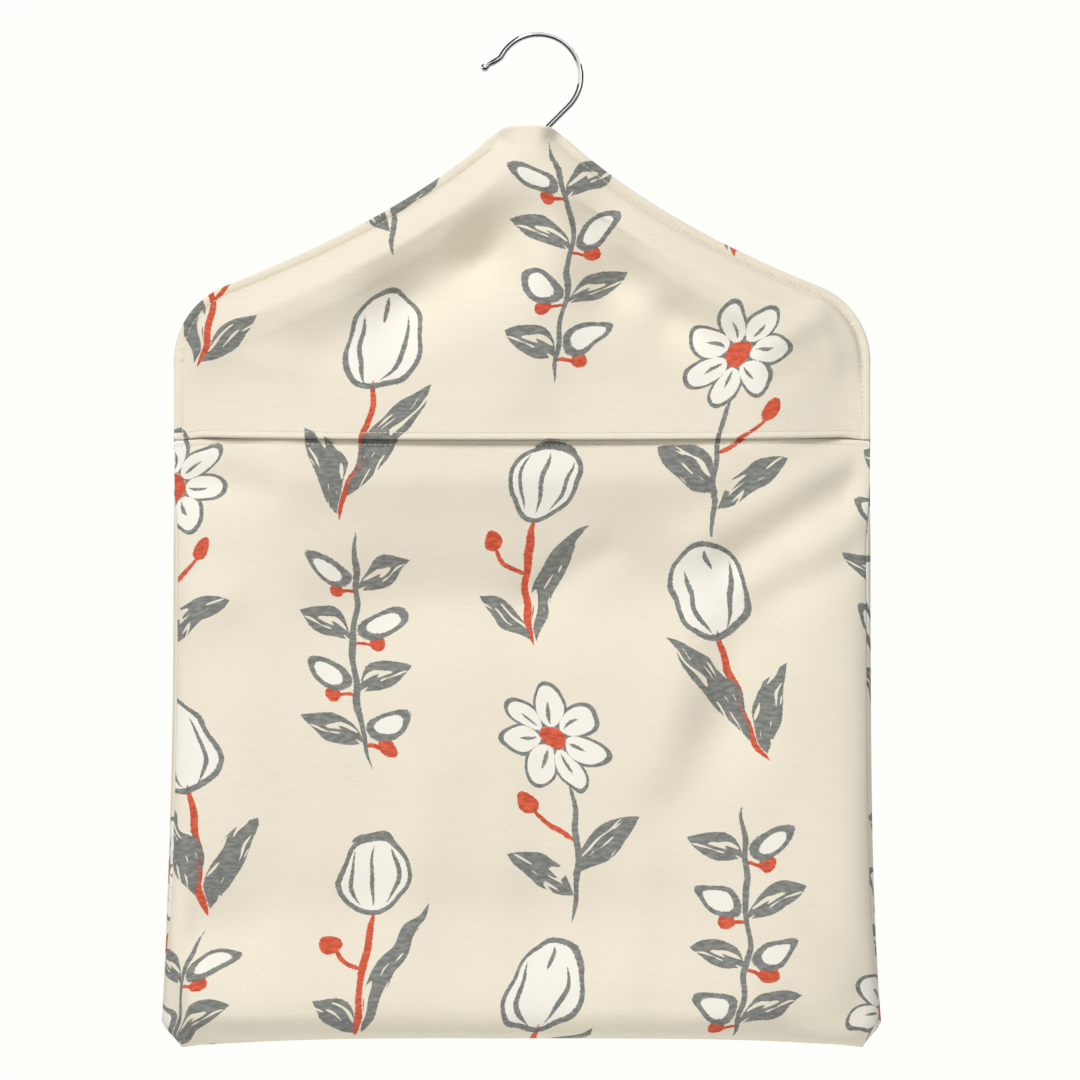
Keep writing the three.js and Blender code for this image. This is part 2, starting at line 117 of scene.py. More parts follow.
def axesOf(vector):
    return outputsOf(vector.tree, "ShaderNodeSeparateXYZ", {"Vector": vector})


def turnedBy(vector, angle, axis="Z_AXIS"):
    inputs = {"Vector": vector, "Angle": angle}
    return outputOf(vector.tree, "ShaderNodeVectorRotate", inputs, rotation_type=axis)


def placeOf(tree):
    return outputOf(tree, "ShaderNodeTexCoord", output="Object")


def attributeOf(tree, name):
    return outputOf(tree, "ShaderNodeAttribute", output="Fac", attribute_name=name)


def noiseOf(vector, scale, detail=0.0, output=0):
    inputs = {"Vector": vector, "Scale": scale, "Detail": detail}
    return outputOf(vector.tree, "ShaderNodeTexNoise", inputs, output)


def softStep(value, low, high, outLow=0.0, outHigh=1.0):
    inputs = {"Value": value, "From Min": low, "From Max": high, "To Min": outLow, "To Max": outHigh}
    return outputOf(value.tree, "ShaderNodeMapRange", inputs, interpolation_type="SMOOTHSTEP")


def strongest(first, *others):
    for other in others:
        first = first.calc("MAXIMUM", other)
    return first


def blendColour(factor, first, second):
    return outputOf(factor.tree, "ShaderNodeMix", {0: factor, 6: first, 7: second}, 2, data_type="RGBA")


def blendShader(factor, first, second):
    return outputOf(factor.tree, "ShaderNodeMixShader", {0: factor, 1: first, 2: second})


def bumpOf(height, distance, strength=1.0):
    inputs = {"Height": height, "Distance": distance, "Strength": strength}
    return outputOf(height.tree, "ShaderNodeBump", inputs)


def colour(*picture):
    # from the 0-255 values of a picture to the linear ones of a node, by the sRGB curve
    parts = [value / 255 for value in picture]
    linear = [part / 12.92 if part <= 0.04045 else ((part + 0.055) / 1.055) ** 2.4 for part in parts]
    return (*linear, 1.0)


def newGroup(name, inputs, outputs):
    # inputs by name: None for a vector, or the value that a number has when it isn't given
    group = bpy.data.node_groups.new(name, "ShaderNodeTree")
    for label, value in inputs.items():
        kind = "NodeSocketVector" if value is None else "NodeSocketFloat"
        made = group.interface.new_socket(label, in_out="INPUT", socket_type=kind)
        if value is not None:
            made.default_value = value
    for label in outputs:
        group.interface.new_socket(label, in_out="OUTPUT", socket_type="NodeSocketFloat")
    return group, outputsOf(group, "NodeGroupInput"), group.nodes.new("NodeGroupOutput").inputs


def useGroup(tree, group, inputs):
    return outputsOf(tree, "ShaderNodeGroup", inputs, node_tree=group)


def newMaterial(name):
    material = bpy.data.materials.new(name)
    material.use_nodes = True
    return material, material.node_tree, material.node_tree.nodes["Principled BSDF"]


def addObject(name, data):
    made = bpy.data.objects.new(name, data)
    scene.collection.objects.link(made)
    return made


def addMesh(name, bm, *materials):
    mesh = bpy.data.meshes.new(name)
    bm.to_mesh(mesh)
    bm.free()
    for material in materials:
        mesh.materials.append(material)
    return addObject(name, mesh)


# camera, lights and floor

stageSetup = {
    "viewMiddle": (0.67 * mm, 0.0, -223.7 * mm),
    "viewWidth": 480.6 * mm,
    "viewDistance": 2.4,
    "sensor": 36.0,
    "lights": {  # place, size and power
        "key_light": ((-1.2, -2.63, 2.5), 1.35, 130.0),
        "fill_light": ((1.4, -2.4, -0.45), 2.0, 9.0),
        "back_light": ((0.75, 2.1, 1.1), 1.6, 52.0),
    },
    "worldTone": (1.0, 0.99, 0.97, 1.0),
    "worldLight": 0.23,
    "backdrop": colour(254, 255, 251),
    "floorHeight": -0.9,
    "floorRadius": 1.6,
    "floorSides": 96,
    "floorTones": (colour(238, 238, 235), colour(242, 242, 239)),
    "floorGrain": 40.0,
    "floorRoughness": 0.9,
    "floorGlow": 0.6,
}

scene.view_settings.view_transform = "Standard"
viewMiddle = Vector(stageSetup["viewMiddle"])
cameraData = bpy.data.cameras.new("front_camera")
cameraData.sensor_width = stageSetup["sensor"]
cameraData.lens = stageSetup["sensor"] * stageSetup["viewDistance"] / stageSetup["viewWidth"]
camera = addObject("front_camera", cameraData)
camera.location = viewMiddle - Vector((0, stageSetup["viewDistance"], 0))
camera.rotation_euler = (math.pi / 2, 0, 0)
scene.camera = camera

for name, (place, size, power) in stageSetup["lights"].items():
    lightData = bpy.data.lights.new(name, "AREA")
    lightData.size = size
    lightData.energy = power
    light = addObject(name, lightData)
    light.location = place
    light.rotation_euler = (viewMiddle - Vector(place)).to_track_quat("-Z", "Y").to_euler()

# the room lights the bag evenly, and the camera and mirrors see a plain pale backdrop in its place
world = bpy.data.worlds.new("studio")
world.use_nodes = True
scene.world = world
sky = world.node_tree
roomLight = sky.nodes["Background"]
give(roomLight.inputs, {"Color": stageSetup["worldTone"], "Strength": stageSetup["worldLight"]})
backdrop = outputOf(sky, "ShaderNodeBackground", {"Color": stageSetup["backdrop"], "Strength": 1.0})
rays = outputsOf(sky, "ShaderNodeLightPath")
seen = strongest(*(rays[name] for name in ("Is Camera Ray", "Is Glossy Ray", "Is Transmission Ray")))
skyMix = blendShader(seen, Wire(sky, roomLight.outputs[0]), backdrop)
give(sky.nodes["World Output"].inputs, {"Surface": skyMix})

paleFloor, tree, shader = newMaterial("pale_floor")
floorTone = blendColour(noiseOf(placeOf(tree), stageSetup["floorGrain"], 2.0), *stageSetup["floorTones"])
give(shader.inputs, {"Base Color": floorTone, "Roughness": stageSetup["floorRoughness"]})
glow = outputOf(tree, "ShaderNodeEmission", {"Color": floorTone, "Strength": 1.0})
glowSeen = outputsOf(tree, "ShaderNodeLightPath")["Is Camera Ray"] * stageSetup["floorGlow"]
floorMix = blendShader(glowSeen, Wire(tree, shader.outputs[0]), glow)
give(tree.nodes["Material Output"].inputs, {"Surface": floorMix})
bm = bmesh.new()
bmesh.ops.create_circle(
    bm, cap_ends=True, segments=stageSetup["floorSides"], radius=stageSetup["floorRadius"]
)
bmesh.ops.translate(bm, verts=bm.verts, vec=(0, 0, stageSetup["floorHeight"]))
addMesh("studio_floor", bm, paleFloor)

# a dark hoop round the view and a dark card below the camera, as a photographer sets them so that
# bright metal shows its shape; only reflections see them
cardSetup = {
    "middleZ": -0.03,
    "nearRadius": 0.8,
    "nearY": -1.05,
    "farRadius": 0.82,
    "farY": 0.4,
    "sides": 64,
    "openings": ((0, 66), (255, 285), (340, 360)),  # degrees clockwise from the top
    "lowPlace": (-0.1, -1.0, -0.72),
    "lowSize": (2.6, 1.2),
    "blacks": (colour(18, 18, 18), colour(30, 30, 30)),
    "grain": 60.0,
    "roughness": 0.95,
    "paler": colour(165, 165, 162),  # the hoop's far lower part
    "palerY": (-0.5, -0.2),
    "palerZ": (-0.1, -0.4),
}
cardBlack, tree, shader = newMaterial("card_black")
cardAxes = axesOf(placeOf(tree))
cardTone = blendColour(noiseOf(placeOf(tree), cardSetup["grain"], 1.0), *cardSetup["blacks"])
farPart = softStep(cardAxes["Y"], *cardSetup["palerY"])
paler = farPart * softStep(cardAxes["Z"], *cardSetup["palerZ"])
cardTone = blendColour(paler, cardTone, cardSetup["paler"])
give(shader.inputs, {"Base Color": cardTone, "Roughness": cardSetup["roughness"]})


def addCard(name, bm, place):
    # a shape drawn in X and Y is stood up, so that its own Z points to the front
    bmesh.ops.rotate(bm, verts=bm.verts, matrix=Matrix.Rotation(math.pi / 2, 3, "X"))
    bmesh.ops.translate(bm, verts=bm.verts, vec=place)
    card = addMesh(name, bm, cardBlack)
    card.visible_camera = False
    card.visible_diffuse = False
    card.visible_shadow = False


def hoopClock(face):
    # degrees clockwise from the top, before the hoop is stood up
    middle = face.calc_center_median()
    return math.degrees(math.atan2(middle.x, middle.y)) % 360


bm = bmesh.new()
bmesh.ops.create_cone(
    bm,
    cap_ends=False,
    segments=cardSetup["sides"],
    radius1=cardSetup["farRadius"],
    radius2=cardSetup["nearRadius"],
    depth=cardSetup["farY"] - cardSetup["nearY"],
)
openFaces = [f for f in bm.faces if any(low < hoopClock(f) < high for low, high in cardSetup["openings"])]
bmesh.ops.delete(bm, geom=openFaces, context="FACES")
addCard("dark_hoop", bm, (0, (cardSetup["farY"] + cardSetup["nearY"]) / 2, cardSetup["middleZ"]))
bm = bmesh.new()
bmesh.ops.create_grid(bm, x_segments=1, y_segments=1, size=0.5)
bmesh.ops.scale(bm, verts=bm.verts, vec=(*cardSetup["lowSize"], 1))
addCard("dark_card", bm, cardSetup["lowPlace"])
print("stage set")

# the drawn plant print, worked out in millimetres on the flat cloth

printLook = {
    "cellWidth": 82.0,
    "cellHeight": 117.0,
    "shiftX": 30.0,
    "shiftY": 46.0,
    "strayX": 7.0,
    "strayY": 6.0,
    "tilt": 0.12,
    "swing": 11.0,
    "swingLength": 250.0,
    "wobble": 2.8,
    "wobbleScale": 0.07,
    "roughness": 0.5,
    "roughScale": 0.9,
    "edgeSoftness": 0.16,
    "lineHalf": 1.05,
    "greys": (colour(106, 109, 106), colour(136, 138, 134)),
    "reds": (colour(188, 62, 36), colour(224, 92, 54)),
    "white": colour(243, 240, 232),
    "inkCover": 0.96,
    "whiteCover": 0.75,
    "dryStretch": (0.5, 1.3, 1.0),
    "dryScale": 0.5,
    "dryRange": (0.35, 0.68),
}
# the drawings in millimetres from the middle of their cells: pen, ink, middle, turn, half length,
# half width, then bend and bluntness of a stroke, bend and bareness of a leaf, or taper of a round
tulipParts = (
    ("round", "White", (-1, 29), 0.06, 22, 16, -0.18, 0),
    ("stroke", "Grey", (-6.5, 24), 1.75, 15, 1.1, 3.4, 3),
    ("stroke", "Grey", (6, 23.5), 1.38, 15.5, 1.1, -3.2, 3),
    ("stroke", "Grey", (0.5, 42), 1.6, 5.5, 0.95, 0.4, 3),
    ("stroke", "Red", (-0.4, -20), 1.6, 30, 1.65, 2.4, 9),
    ("leaf", "Grey", (-14.5, -16), 2.02, 27, 7.6, -4, 0.65),
    ("leaf", "Grey", (13.5, -28), 1.0, 22, 6.8, 3.5, 0.66),
)
podParts = (
    ("round", "White", (3, 25), -0.06, 16.5, 15, 0.1, 0),
    ("stroke", "Grey", (3, 40.6), 0.05, 9.5, 1.9, 2.2, 5),
    ("stroke", "Grey", (-4.5, 25), 1.66, 12, 0.95, 2.6, 3),
    ("stroke", "Grey", (3.2, 25), 1.55, 13.5, 0.95, 0.3, 3),
    ("stroke", "Grey", (10.6, 25), 1.46, 12, 0.95, -2.6, 3),
    ("stroke", "Red", (1.6, -20), 1.55, 29.5, 1.55, -2.0, 9),
    ("leaf", "Grey", (-11.5, -19), 1.93, 30, 5.4, -5, 0.66),
    ("leaf", "Grey", (13.5, -37), 0.72, 15, 5.6, 2, 0.66),
    ("stroke", "Red", (10.5, -10), 0.72, 11, 0.95, -2.2, 6),
    ("solid", "Red", (20.6, -0.5), -0.5, 5.6, 3.9, -0.3, 0),
)
daisyParts = (
    ("stroke", "Grey", (1.5, -24), 1.57, 30, 1.3, -2, 8),
    ("leaf", "Grey", (-13.5, -32), 2.55, 18, 6.6, -2, 0.65),
    ("leaf", "Grey", (16.5, -22), 0.66, 19, 7, 2.4, 0.65),
    ("stroke", "Red", (-6.3, -10.2), 2.5, 12.6, 1.0, 2, 6),
    ("solid", "Red", (-17, 0), 0.5, 5.4, 3.8, -0.3, 0),
)
daisyHead = {
    "middle": (2, 27),
    "petals": 7,
    "core": 5.4,
    "petal": {"Middle": (14.2, 0, 0), "Half Width": 9.8, "Half Height": 6.0, "Taper": 0.0},
    "vein": {"Middle": (11.2, 0, 0), "Half Length": 4.4, "Half Width": 0.75, "Bend": 0.7},
}
branchLook = {
    "rung": 24.0,
    "sway": 4.0,
    "swayWave": 0.045,
    "half": 48.0,
    "stem": {"Turn": math.pi / 2, "Half Length": 54.0, "Half Width": 1.3, "Blunt": 8.0},
}
branchParts = (
    ("leaf", "Grey", (13, 0.5), 0.5, 14.2, 6, 1.6, 0.65),
    ("round", "White", (-12.2, 2.6), 1.0, 9.6, 4.9, -0.2, 0),
    ("solid", "Red", (-9.6, -7.6), 0, 3.7, 3.6, 0, 0),
    ("stroke", "Red", (-4.6, -8.6), 0.16, 4.6, 0.85, 0.7, 6),
)
leafLook = {"streakRun": 0.09, "streakAcross": 0.52, "streakTurn": 7.0, "streakEdge": 14.0}
drawnInputs = {"Point": None, "Middle": None, "Turn": 0.0}
inkNames = ("Grey", "Red", "White")
noInk = -9.0  # a depth well outside every edge
otherCell = 50.0  # a depth taken off, which clears a drawing from the cells of the others


def localAxes(given):
    # a point seen from the middle of a drawn part, and turned with it
    return axesOf(turnedBy(vectorCalc("SUBTRACT", given["Point"], given["Middle"]), given["Turn"] * -1.0))


def buildStroke():
    # one pull of the brush: a bent line whose width falls off to both ends
    inputs = {"Half Length": 10.0, "Half Width": 1.0, "Bend": 0.0, "Blunt": 2.0}
    group, given, result = newGroup("brush_stroke", drawnInputs | inputs, ("Inside", "Along", "Across"))
    local = localAxes(given)
    along = local["X"] / given["Half Length"]
    across = local["Y"] - (1.0 - along * along) * given["Bend"]
    width = (1.0 - abs(along) ** given["Blunt"]) * given["Half Width"]
    give(result, {"Inside": width - abs(across), "Along": along, "Across": across})
    return group


def buildEgg():
    # a round or egg shape, by how deep inside its edge a point lies
    inputs = {"Half Width": 10.0, "Half Height": 10.0, "Taper": 0.0}
    group, given, result = newGroup("drawn_egg", drawnInputs | inputs, ("Inside",))
    local = localAxes(given)
    high = local["Y"] / given["Half Height"]
    wide = local["X"] / ((high * given["Taper"] + 1.0) * given["Half Width"])
    reach = vectorCalc("LENGTH", vectorOf(wide, high))
    give(result, {"Inside": (1.0 - reach) * given["Half Width"]})
    return group


def buildLeaf(stroke):
    # a leaf filled by a dry brush, with a few bare streaks along it
    shared = drawnInputs | {"Half Length": 18.0, "Half Width": 6.0, "Bend": 0.0}
    group, given, result = newGroup("dry_leaf", shared | {"Streaks": 0.6}, ("Inside",))
    shape = useGroup(group, stroke, {name: given[name] for name in shared})
    run = shape["Along"] * (given["Half Length"] * leafLook["streakRun"])
    across = shape["Across"] * leafLook["streakAcross"]
    streaks = noiseOf(vectorOf(run, across, given["Turn"] * leafLook["streakTurn"]), 1.0)
    streaked = (given["Streaks"] - streaks) * leafLook["streakEdge"]
    give(result, {"Inside": shape["Inside"].calc("MINIMUM", streaked)})
    return group


def outlineOf(inside):
    return printLook["lineHalf"] - abs(inside)


def drawParts(group, pens, point, parts):
    # the inks that the parts of a drawing leave at a point, each as a list of depths inside its edge
    inks = {name: [] for name in inkNames}
    for pen, ink, (x, y), turn, halfLength, halfWidth, first, second in parts:
        values = {"Point": point, "Middle": (x, y, 0), "Turn": turn, "Half Width": halfWidth}
        if pen in ("stroke", "leaf"):
            values |= {"Half Length": halfLength, "Bend": first}
            values |= {"Blunt" if pen == "stroke" else "Streaks": second}
            inks[ink].append(useGroup(group, pens[pen], values)["Inside"])
        else:
            values |= {"Half Height": halfLength, "Taper": first}
            inside = useGroup(group, pens["round"], values)["Inside"]
            inks[ink].append(inside)
            if pen == "round":
                inks["Grey"].append(outlineOf(inside))
    return inks


def buildMotif(name, pens, parts):
    group, given, result = newGroup(name, {"Point": None}, inkNames)
    inks = drawParts(group, pens, given["Point"], parts)
    depths = {label: strongest(*values) if values else noInk for label, values in inks.items()}
    give(result, depths)
    return group


def buildBranch(pens):
    # rungs of one leaf, bud and berry up a swaying stem, mirrored from rung to rung
    group, given, result = newGroup("branch_drawing", {"Point": None}, inkNames)
    look = branchLook
    axes = axesOf(given["Point"])
    straight = axes["X"] - (axes["Y"] * look["swayWave"]).calc("SINE") * look["sway"]
    rung = (axes["Y"] / look["rung"]).calc("FLOOR")
    inRung = axes["Y"] - (rung * look["rung"] + look["rung"] / 2)
    ladder = vectorOf(straight * (rung % 2.0 * 2.0 - 1.0), inRung)
    onLadder = look["half"] - abs(axes["Y"])
    inks = drawParts(group, pens, ladder, branchParts)
    inks = {label: strongest(*values).calc("MINIMUM", onLadder) for label, values in inks.items()}
    stem = useGroup(group, pens["stroke"], look["stem"] | {"Point": vectorOf(straight, axes["Y"])})
    inks["Grey"] = strongest(inks["Grey"], stem["Inside"])
    give(result, inks)
    return group


def buildDaisy(pens):
    # one petal, repeated round the core, over a stem with its leaves
    group, given, result = newGroup("daisy_drawing", {"Point": None}, inkNames)
    look = daisyHead
    away = axesOf(vectorCalc("SUBTRACT", given["Point"], (*look["middle"], 0)))
    reach = vectorCalc("LENGTH", vectorOf(away["X"], away["Y"]))
    share = 2 * math.pi / look["petals"]
    folded = away["Y"].calc("ARCTAN2", away["X"]) % share - share / 2
    spoke = {"Point": vectorOf(reach * folded.calc("COSINE"), reach * folded.calc("SINE"))}
    petal = useGroup(group, pens["round"], look["petal"] | spoke)["Inside"]
    vein = useGroup(group, pens["stroke"], look["vein"] | spoke)["Inside"]
    core = look["core"] - reach
    petalLine = outlineOf(petal).calc("MINIMUM", core * -1.0)
    inks = drawParts(group, pens, given["Point"], daisyParts)
    grey = strongest(petalLine, vein, *inks["Grey"])
    give(result, {"Grey": grey, "Red": strongest(core, *inks["Red"]), "White": petal})
    return group


def buildPlantPrint():
    stroke = buildStroke()
    pens = {"stroke": stroke, "leaf": buildLeaf(stroke), "round": buildEgg()}
    motifs = [buildMotif("tulip_drawing", pens, tulipParts), buildDaisy(pens)]
    motifs += [buildMotif("pod_drawing", pens, podParts), buildBranch(pens)]
    group, given, result = newGroup("plant_print", {"Flat": None}, inkNames)
    look = printLook
    wide, high = look["cellWidth"], look["cellHeight"]
    centre = (0.5, 0.5, 0.5)
    flat = vectorCalc("SCALE", given["Flat"], 1 / mm)
    drift = vectorCalc("SUBTRACT", noiseOf(flat, look["wobbleScale"], output="Color"), centre)
    drift = vectorCalc("SCALE", drift, look["wobble"] * 2)
    shifted = vectorCalc("ADD", flat, (look["shiftX"], look["shiftY"], 0))
    axes = axesOf(vectorCalc("ADD", shifted, drift))
    # columns of cells swing from side to side, and every other one is half a cell out of step
    swing = (axes["Y"] * (2 * math.pi / look["swingLength"])).calc("SINE")
    acrossX = swing * look["swing"] + axes["X"]
    column = (acrossX / wide).calc("FLOOR")
    dropped = axes["Y"] + column % 2.0 * (high / 2)
    row = (dropped / high).calc("FLOOR")
    # in each cell the drawing strays and leans by chance, and is mirrored by turns
    dice = {"inputs": {0: vectorOf(column, row)}, "output": "Color", "noise_dimensions": "2D"}
    chance = axesOf(vectorCalc("SUBTRACT", outputOf(group, "ShaderNodeTexWhiteNoise", **dice), centre))
    localX = acrossX - (column * wide + wide / 2) + chance["X"] * (look["strayX"] * 2)
    localY = dropped - (row * high + high / 2) + chance["Y"] * (look["strayY"] * 2)
    mirrored = localX * ((row * 3.0 + column) % 2.0 * 2.0 - 1.0)
    placed = turnedBy(vectorOf(mirrored, localY), chance["Z"] * (look["tilt"] * 2))
    pick = (column * 2.0 + row + (column / 2.0).calc("FLOOR")) % len(motifs)
    rough = (noiseOf(flat, look["roughScale"], 2.0) - 0.5) * (look["roughness"] * 2)
    drawn = {label: [] for label in inkNames}
    for index, motif in enumerate(motifs):
        away = (pick.calc("COMPARE", index, 0.25) - 1.0) * otherCell
        inks = useGroup(group, motif, {"Point": placed})
        for label in inkNames:
            drawn[label].append(inks[label] + away)
    for label in inkNames:
        edge = strongest(*drawn[label])
        edge = edge if label == "White" else edge + rough
        give(result, {label: softStep(edge, -look["edgeSoftness"], look["edgeSoftness"])})
    return group


# cotton with a light horizontal rib; pitches and heights in millimetres

clothLook = {
    "creamDeep": colour(226, 217, 197),
    "cream": colour(238, 231, 214),
    "ribPitch": 0.95,
    "ribHeight": 0.013,
    # how far painted shade darkens the cloth between the ribs
    "ribShade": 0.16,
    "threadPitch": 0.42,
    "threadHeight": 0.012,
    "slubStretch": (0.06, 1.6, 1.0),
    "ribFade": (0.3, 0.7, 0.2, 1.0),
    "slubHeight": 0.022,
    "slubTone": 0.8,
    "toneBase": 0.12,
    "patchScale": 0.02,
    "patchRange": (0.35, 0.7),
    "patchDepth": 0.18,
    "puckerPitch": 2.3,
    "puckerHeight": 0.05,
    "puckerReach": 1.0,
    "roughness": (0.81, 0.92),
    "sheen": 0.12,
    "specular": 0.25,
}


def buildWeave():
    # height in millimetres, and a tone from the yarn's slubs with painted shade between the ribs
    look = clothLook
    group, given, result = newGroup("ribbed_weave", {"Flat": None}, ("Height", "Tone"))
    flat = vectorCalc("SCALE", given["Flat"], 1 / mm)
    axes = axesOf(flat)
    slub = noiseOf(vectorCalc("MULTIPLY", flat, look["slubStretch"]), 1.0, 2.0)
    ribs = (axes["Y"] * (2 * math.pi / look["ribPitch"])).calc("SINE") * softStep(slub, *look["ribFade"])
    warp, weft = ((axes[axis] * (2 * math.pi / look["threadPitch"])).calc("SINE") for axis in "XY")
    height = ribs * look["ribHeight"] + warp * weft * look["threadHeight"] + slub * look["slubHeight"]
    # the ribs' share of the tone is painted shade in the grooves between them; the slubs' share is the
    # yarn's own tone
    tone = ribs * look["ribShade"] + slub * look["slubTone"] + look["toneBase"]
    give(result, {"Height": height, "Tone": tone})
    return group


def buildPucker():
    # small gathers that each stitch pulls into the cloth beside its line
    look = clothLook
    group, given, result = newGroup("stitch_pucker", {"Along": 0.0, "Away": 9.0}, ("Height",))
    wave = (given["Along"] * (2 * math.pi / look["puckerPitch"])).calc("COSINE")
    near = given["Away"] / look["puckerReach"]
    give(result, {"Height": wave * (near * near * -1.0).calc("EXPONENT") * look["puckerHeight"]})
    return group


plantPrint = buildPlantPrint()
ribbedWeave = buildWeave()
stitchPucker = buildPucker()


def clothMaterial(name, printed):
    material, tree, shader = newMaterial(name)
    flat = outputOf(tree, "ShaderNodeUVMap", uv_map="clothFlat")
    flatMm = vectorCalc("SCALE", flat, 1 / mm)
    weave = useGroup(tree, ribbedWeave, {"Flat": flat})
    lines = {"Along": attributeOf(tree, "stitchAlong"), "Away": attributeOf(tree, "stitchAway")}
    pucker = useGroup(tree, stitchPucker, lines)["Height"]
    # the weave's tone carries painted shade between the ribs as well as the yarn's own slubs
    cloth = blendColour(weave["Tone"], clothLook["creamDeep"], clothLook["cream"])
    patches = noiseOf(flatMm, clothLook["patchScale"], 2.0)
    patches = softStep(patches, *clothLook["patchRange"], 0.0, clothLook["patchDepth"])
    cloth = blendColour(patches, cloth, clothLook["creamDeep"])
    if printed:
        look = printLook
        ink = useGroup(tree, plantPrint, {"Flat": flat})
        brushed = vectorCalc("MULTIPLY", flatMm, look["dryStretch"])
        dryness = softStep(noiseOf(brushed, look["dryScale"], 3.0), *look["dryRange"])
        grey = blendColour(dryness, *look["greys"])
        red = blendColour(dryness, *look["reds"])
        layers = (("White", look["whiteCover"], look["white"]), ("Red", look["inkCover"], red))
        for label, cover, tone in (*layers, ("Grey", look["inkCover"], grey)):
            cloth = blendColour(ink[label] * cover, cloth, tone)
    values = {
        "Base Color": cloth,
        "Normal": bumpOf(weave["Height"] + pucker, mm),
        "Roughness": softStep(weave["Tone"], 0.0, 1.0, *clothLook["roughness"]),
        "Sheen Weight": clothLook["sheen"],
        "Specular IOR Level": clothLook["specular"],
    }
    give(shader.inputs, values)
    return material


printedCotton = clothMaterial("printed_cotton", True)
cottonReverse = clothMaterial("cotton_reverse", False)

threadLook = {
    "tones": (colour(214, 206, 187), colour(236, 229, 211)),
    # painted shadow: a dark colour at each stitch's ends, where the thread sinks into its hole
    "holeShadowTone": colour(128, 118, 99),  # the shade of the hole that a stitch's end sinks into
    "holeShadowRange": (0.15, 0.8),
    "twistScale": 2500.0,
    "twistHeight": 0.05,
    "twistStrength": 0.6,
    "roughness": 0.7,
    "sheen": 0.1,
}
sewingThread, tree, shader = newMaterial("sewing_thread")
twist = noiseOf(placeOf(tree), threadLook["twistScale"], 1.0)
# the stitches' ends get painted shadow, darker towards the tips
tip = softStep(attributeOf(tree, "stitchTip"), *threadLook["holeShadowRange"])
threadWithShadow = blendColour(tip, blendColour(twist, *threadLook["tones"]), threadLook["holeShadowTone"])
values = {
    "Base Color": threadWithShadow,
    "Normal": bumpOf(twist, threadLook["twistHeight"] * mm, threadLook["twistStrength"]),
    "Roughness": threadLook["roughness"],
    "Sheen Weight": threadLook["sheen"],
}
give(shader.inputs, values)
print("cloth and print mixed")

# shape of the bag, in millimetres seen from the front: x from the bag's own middle, z up

bag = {
    "offset": -7.3,
    "neckTop": -39.558,
    "neckLean": 2.6,
    "neckHalf": 11.6,
    "neckRounding": 3.4,
    "neckSlope": math.radians(44),
    "shoulderSlope": math.radians(21.5),
    "shoulderDrop": 71.0,
    "shoulderRadius": 36.0,
    "neckOpening": 7.0,
    "neckStart": 4.0,
    "neckRun": 5.0,
    "half": 155.0,
    "baseHalf": 160.0,
    "height": 408.4,
    "slitDrop": 139.7,
    "slitDroop": 1.6,
    "slitEndDrop": 1.5,
    "slitEndRun": 14.0,
    "edgeBlur": 11.0,
    "blurHalf": 30.0,
    "blurFade": 40.0,
    "hangerHalf": 134.0,
    "armBandMiddle": 33.0,
    "armBandEnd": 28.0,
    "leastFall": 9.0,
    "armDepth": 7.2,
    "armSwell": 5.6,
    "armSwellStart": 7.0,
    "armSwellRun": 11.0,
    "neckDepth": 8.6,
    "neckTopDepth": 5.4,
    "neckRise": 9.5,
    "neckTopRun": 19.0,
    "hookBulge": 2.8,
    "hookBulgeWidth": 9.5,
    "hookBulgeRun": 18.0,
    "neckSpread": 34.0,
    "flangeDepth": 1.1,
    "flangeWidth": 4.4,
    "flangeRise": 6.0,
    "neckFlange": 1.5,
    "sideRise": 50.0,
    "sideStart": -118.0,
    "sideRun": 46.0,
    "valleyDepth": 1.0,
    "backValleyDepth": 1.5,
    "coneHalf": 46.0,
    "mouthDepth": 9.5,
    "mouthStand": 2.5,
    "standRun": 26.0,
    "mouthGape": 0.9,
    "hemStack": 1.68,
    "mouthOverlap": 0.7,
    "mouthEndGap": 0.12,
    "mouthEndWidth": 24.0,
    "mouthEndShut": 0.4,
    "facingLean": 3.8,
    "facingWidth": 25.0,
    "bellyDepth": 21.5,
    "bellyRun": 1.15,
    "baseAxisShift": 8.0,
    "backDepth": 9.0,
    "baseBackDepth": 14.0,
    "creaseRadius": 8.0,
    "creaseSteps": 12,
    "cornerCut": 9.2,
    "cornerRise": 10.0,
    "baseSqueezes": (0.86, 0.7, 0.54, 0.38, 0.22, 0.1, 0.03, 0.0),
    "baseGap": 0.15,
    "foldEnd": 3.0,
    "foldEndRun": 12.0,
    "bottomBow": 4.4,
    "baseTilt": 1.5,
    "seamInset": 2.0,
    "seamGroove": 0.04,
    "seamRoll": 0.42,
    "seamFade": 60.0,
    "wrapRun": 46.0,
    "flareRun": 190.0,
    "flarePowers": (2.0, 3.5),
    "crossPower": 14.0,
    "boxedPower": 0.6,
    "swellWaves": 9,
    "swellLengths": (45, 130),
    "swellShare": 0.4,
    "patternFade": 60.0,
    "steepest": 1.5,
}
sewing = {
    "clothWall": 0.62,
    "halfWall": 0.12,
    "edgeRound": 0.9,
    "edgeRoll": 0.16,
    "edgePull": 0.2,
    "edgePullWidth": 0.65,
    "edgeTurn": 1.35,
    "hemWidth": 3.0,
    "hemRoll": 0.25,
    "hemPullWidth": 0.6,
    "hemEnds": 20.0,
    "hemTuck": 0.0045,
    "topstitch": 3.9,
    "slopeColumns": 72,
    "shoulderColumns": 26,
    "neckColumns": 6,
}
slitZ = bag["neckTop"] - bag["slitDrop"]
bottomZ = bag["neckTop"] - bag["height"]
creaseZ = bottomZ + bag["creaseRadius"]
seamTopZ = bag["neckTop"] - bag["neckOpening"]
shoulderX = bag["half"] - bag["shoulderRadius"] * (1 - math.sin(bag["shoulderSlope"]))


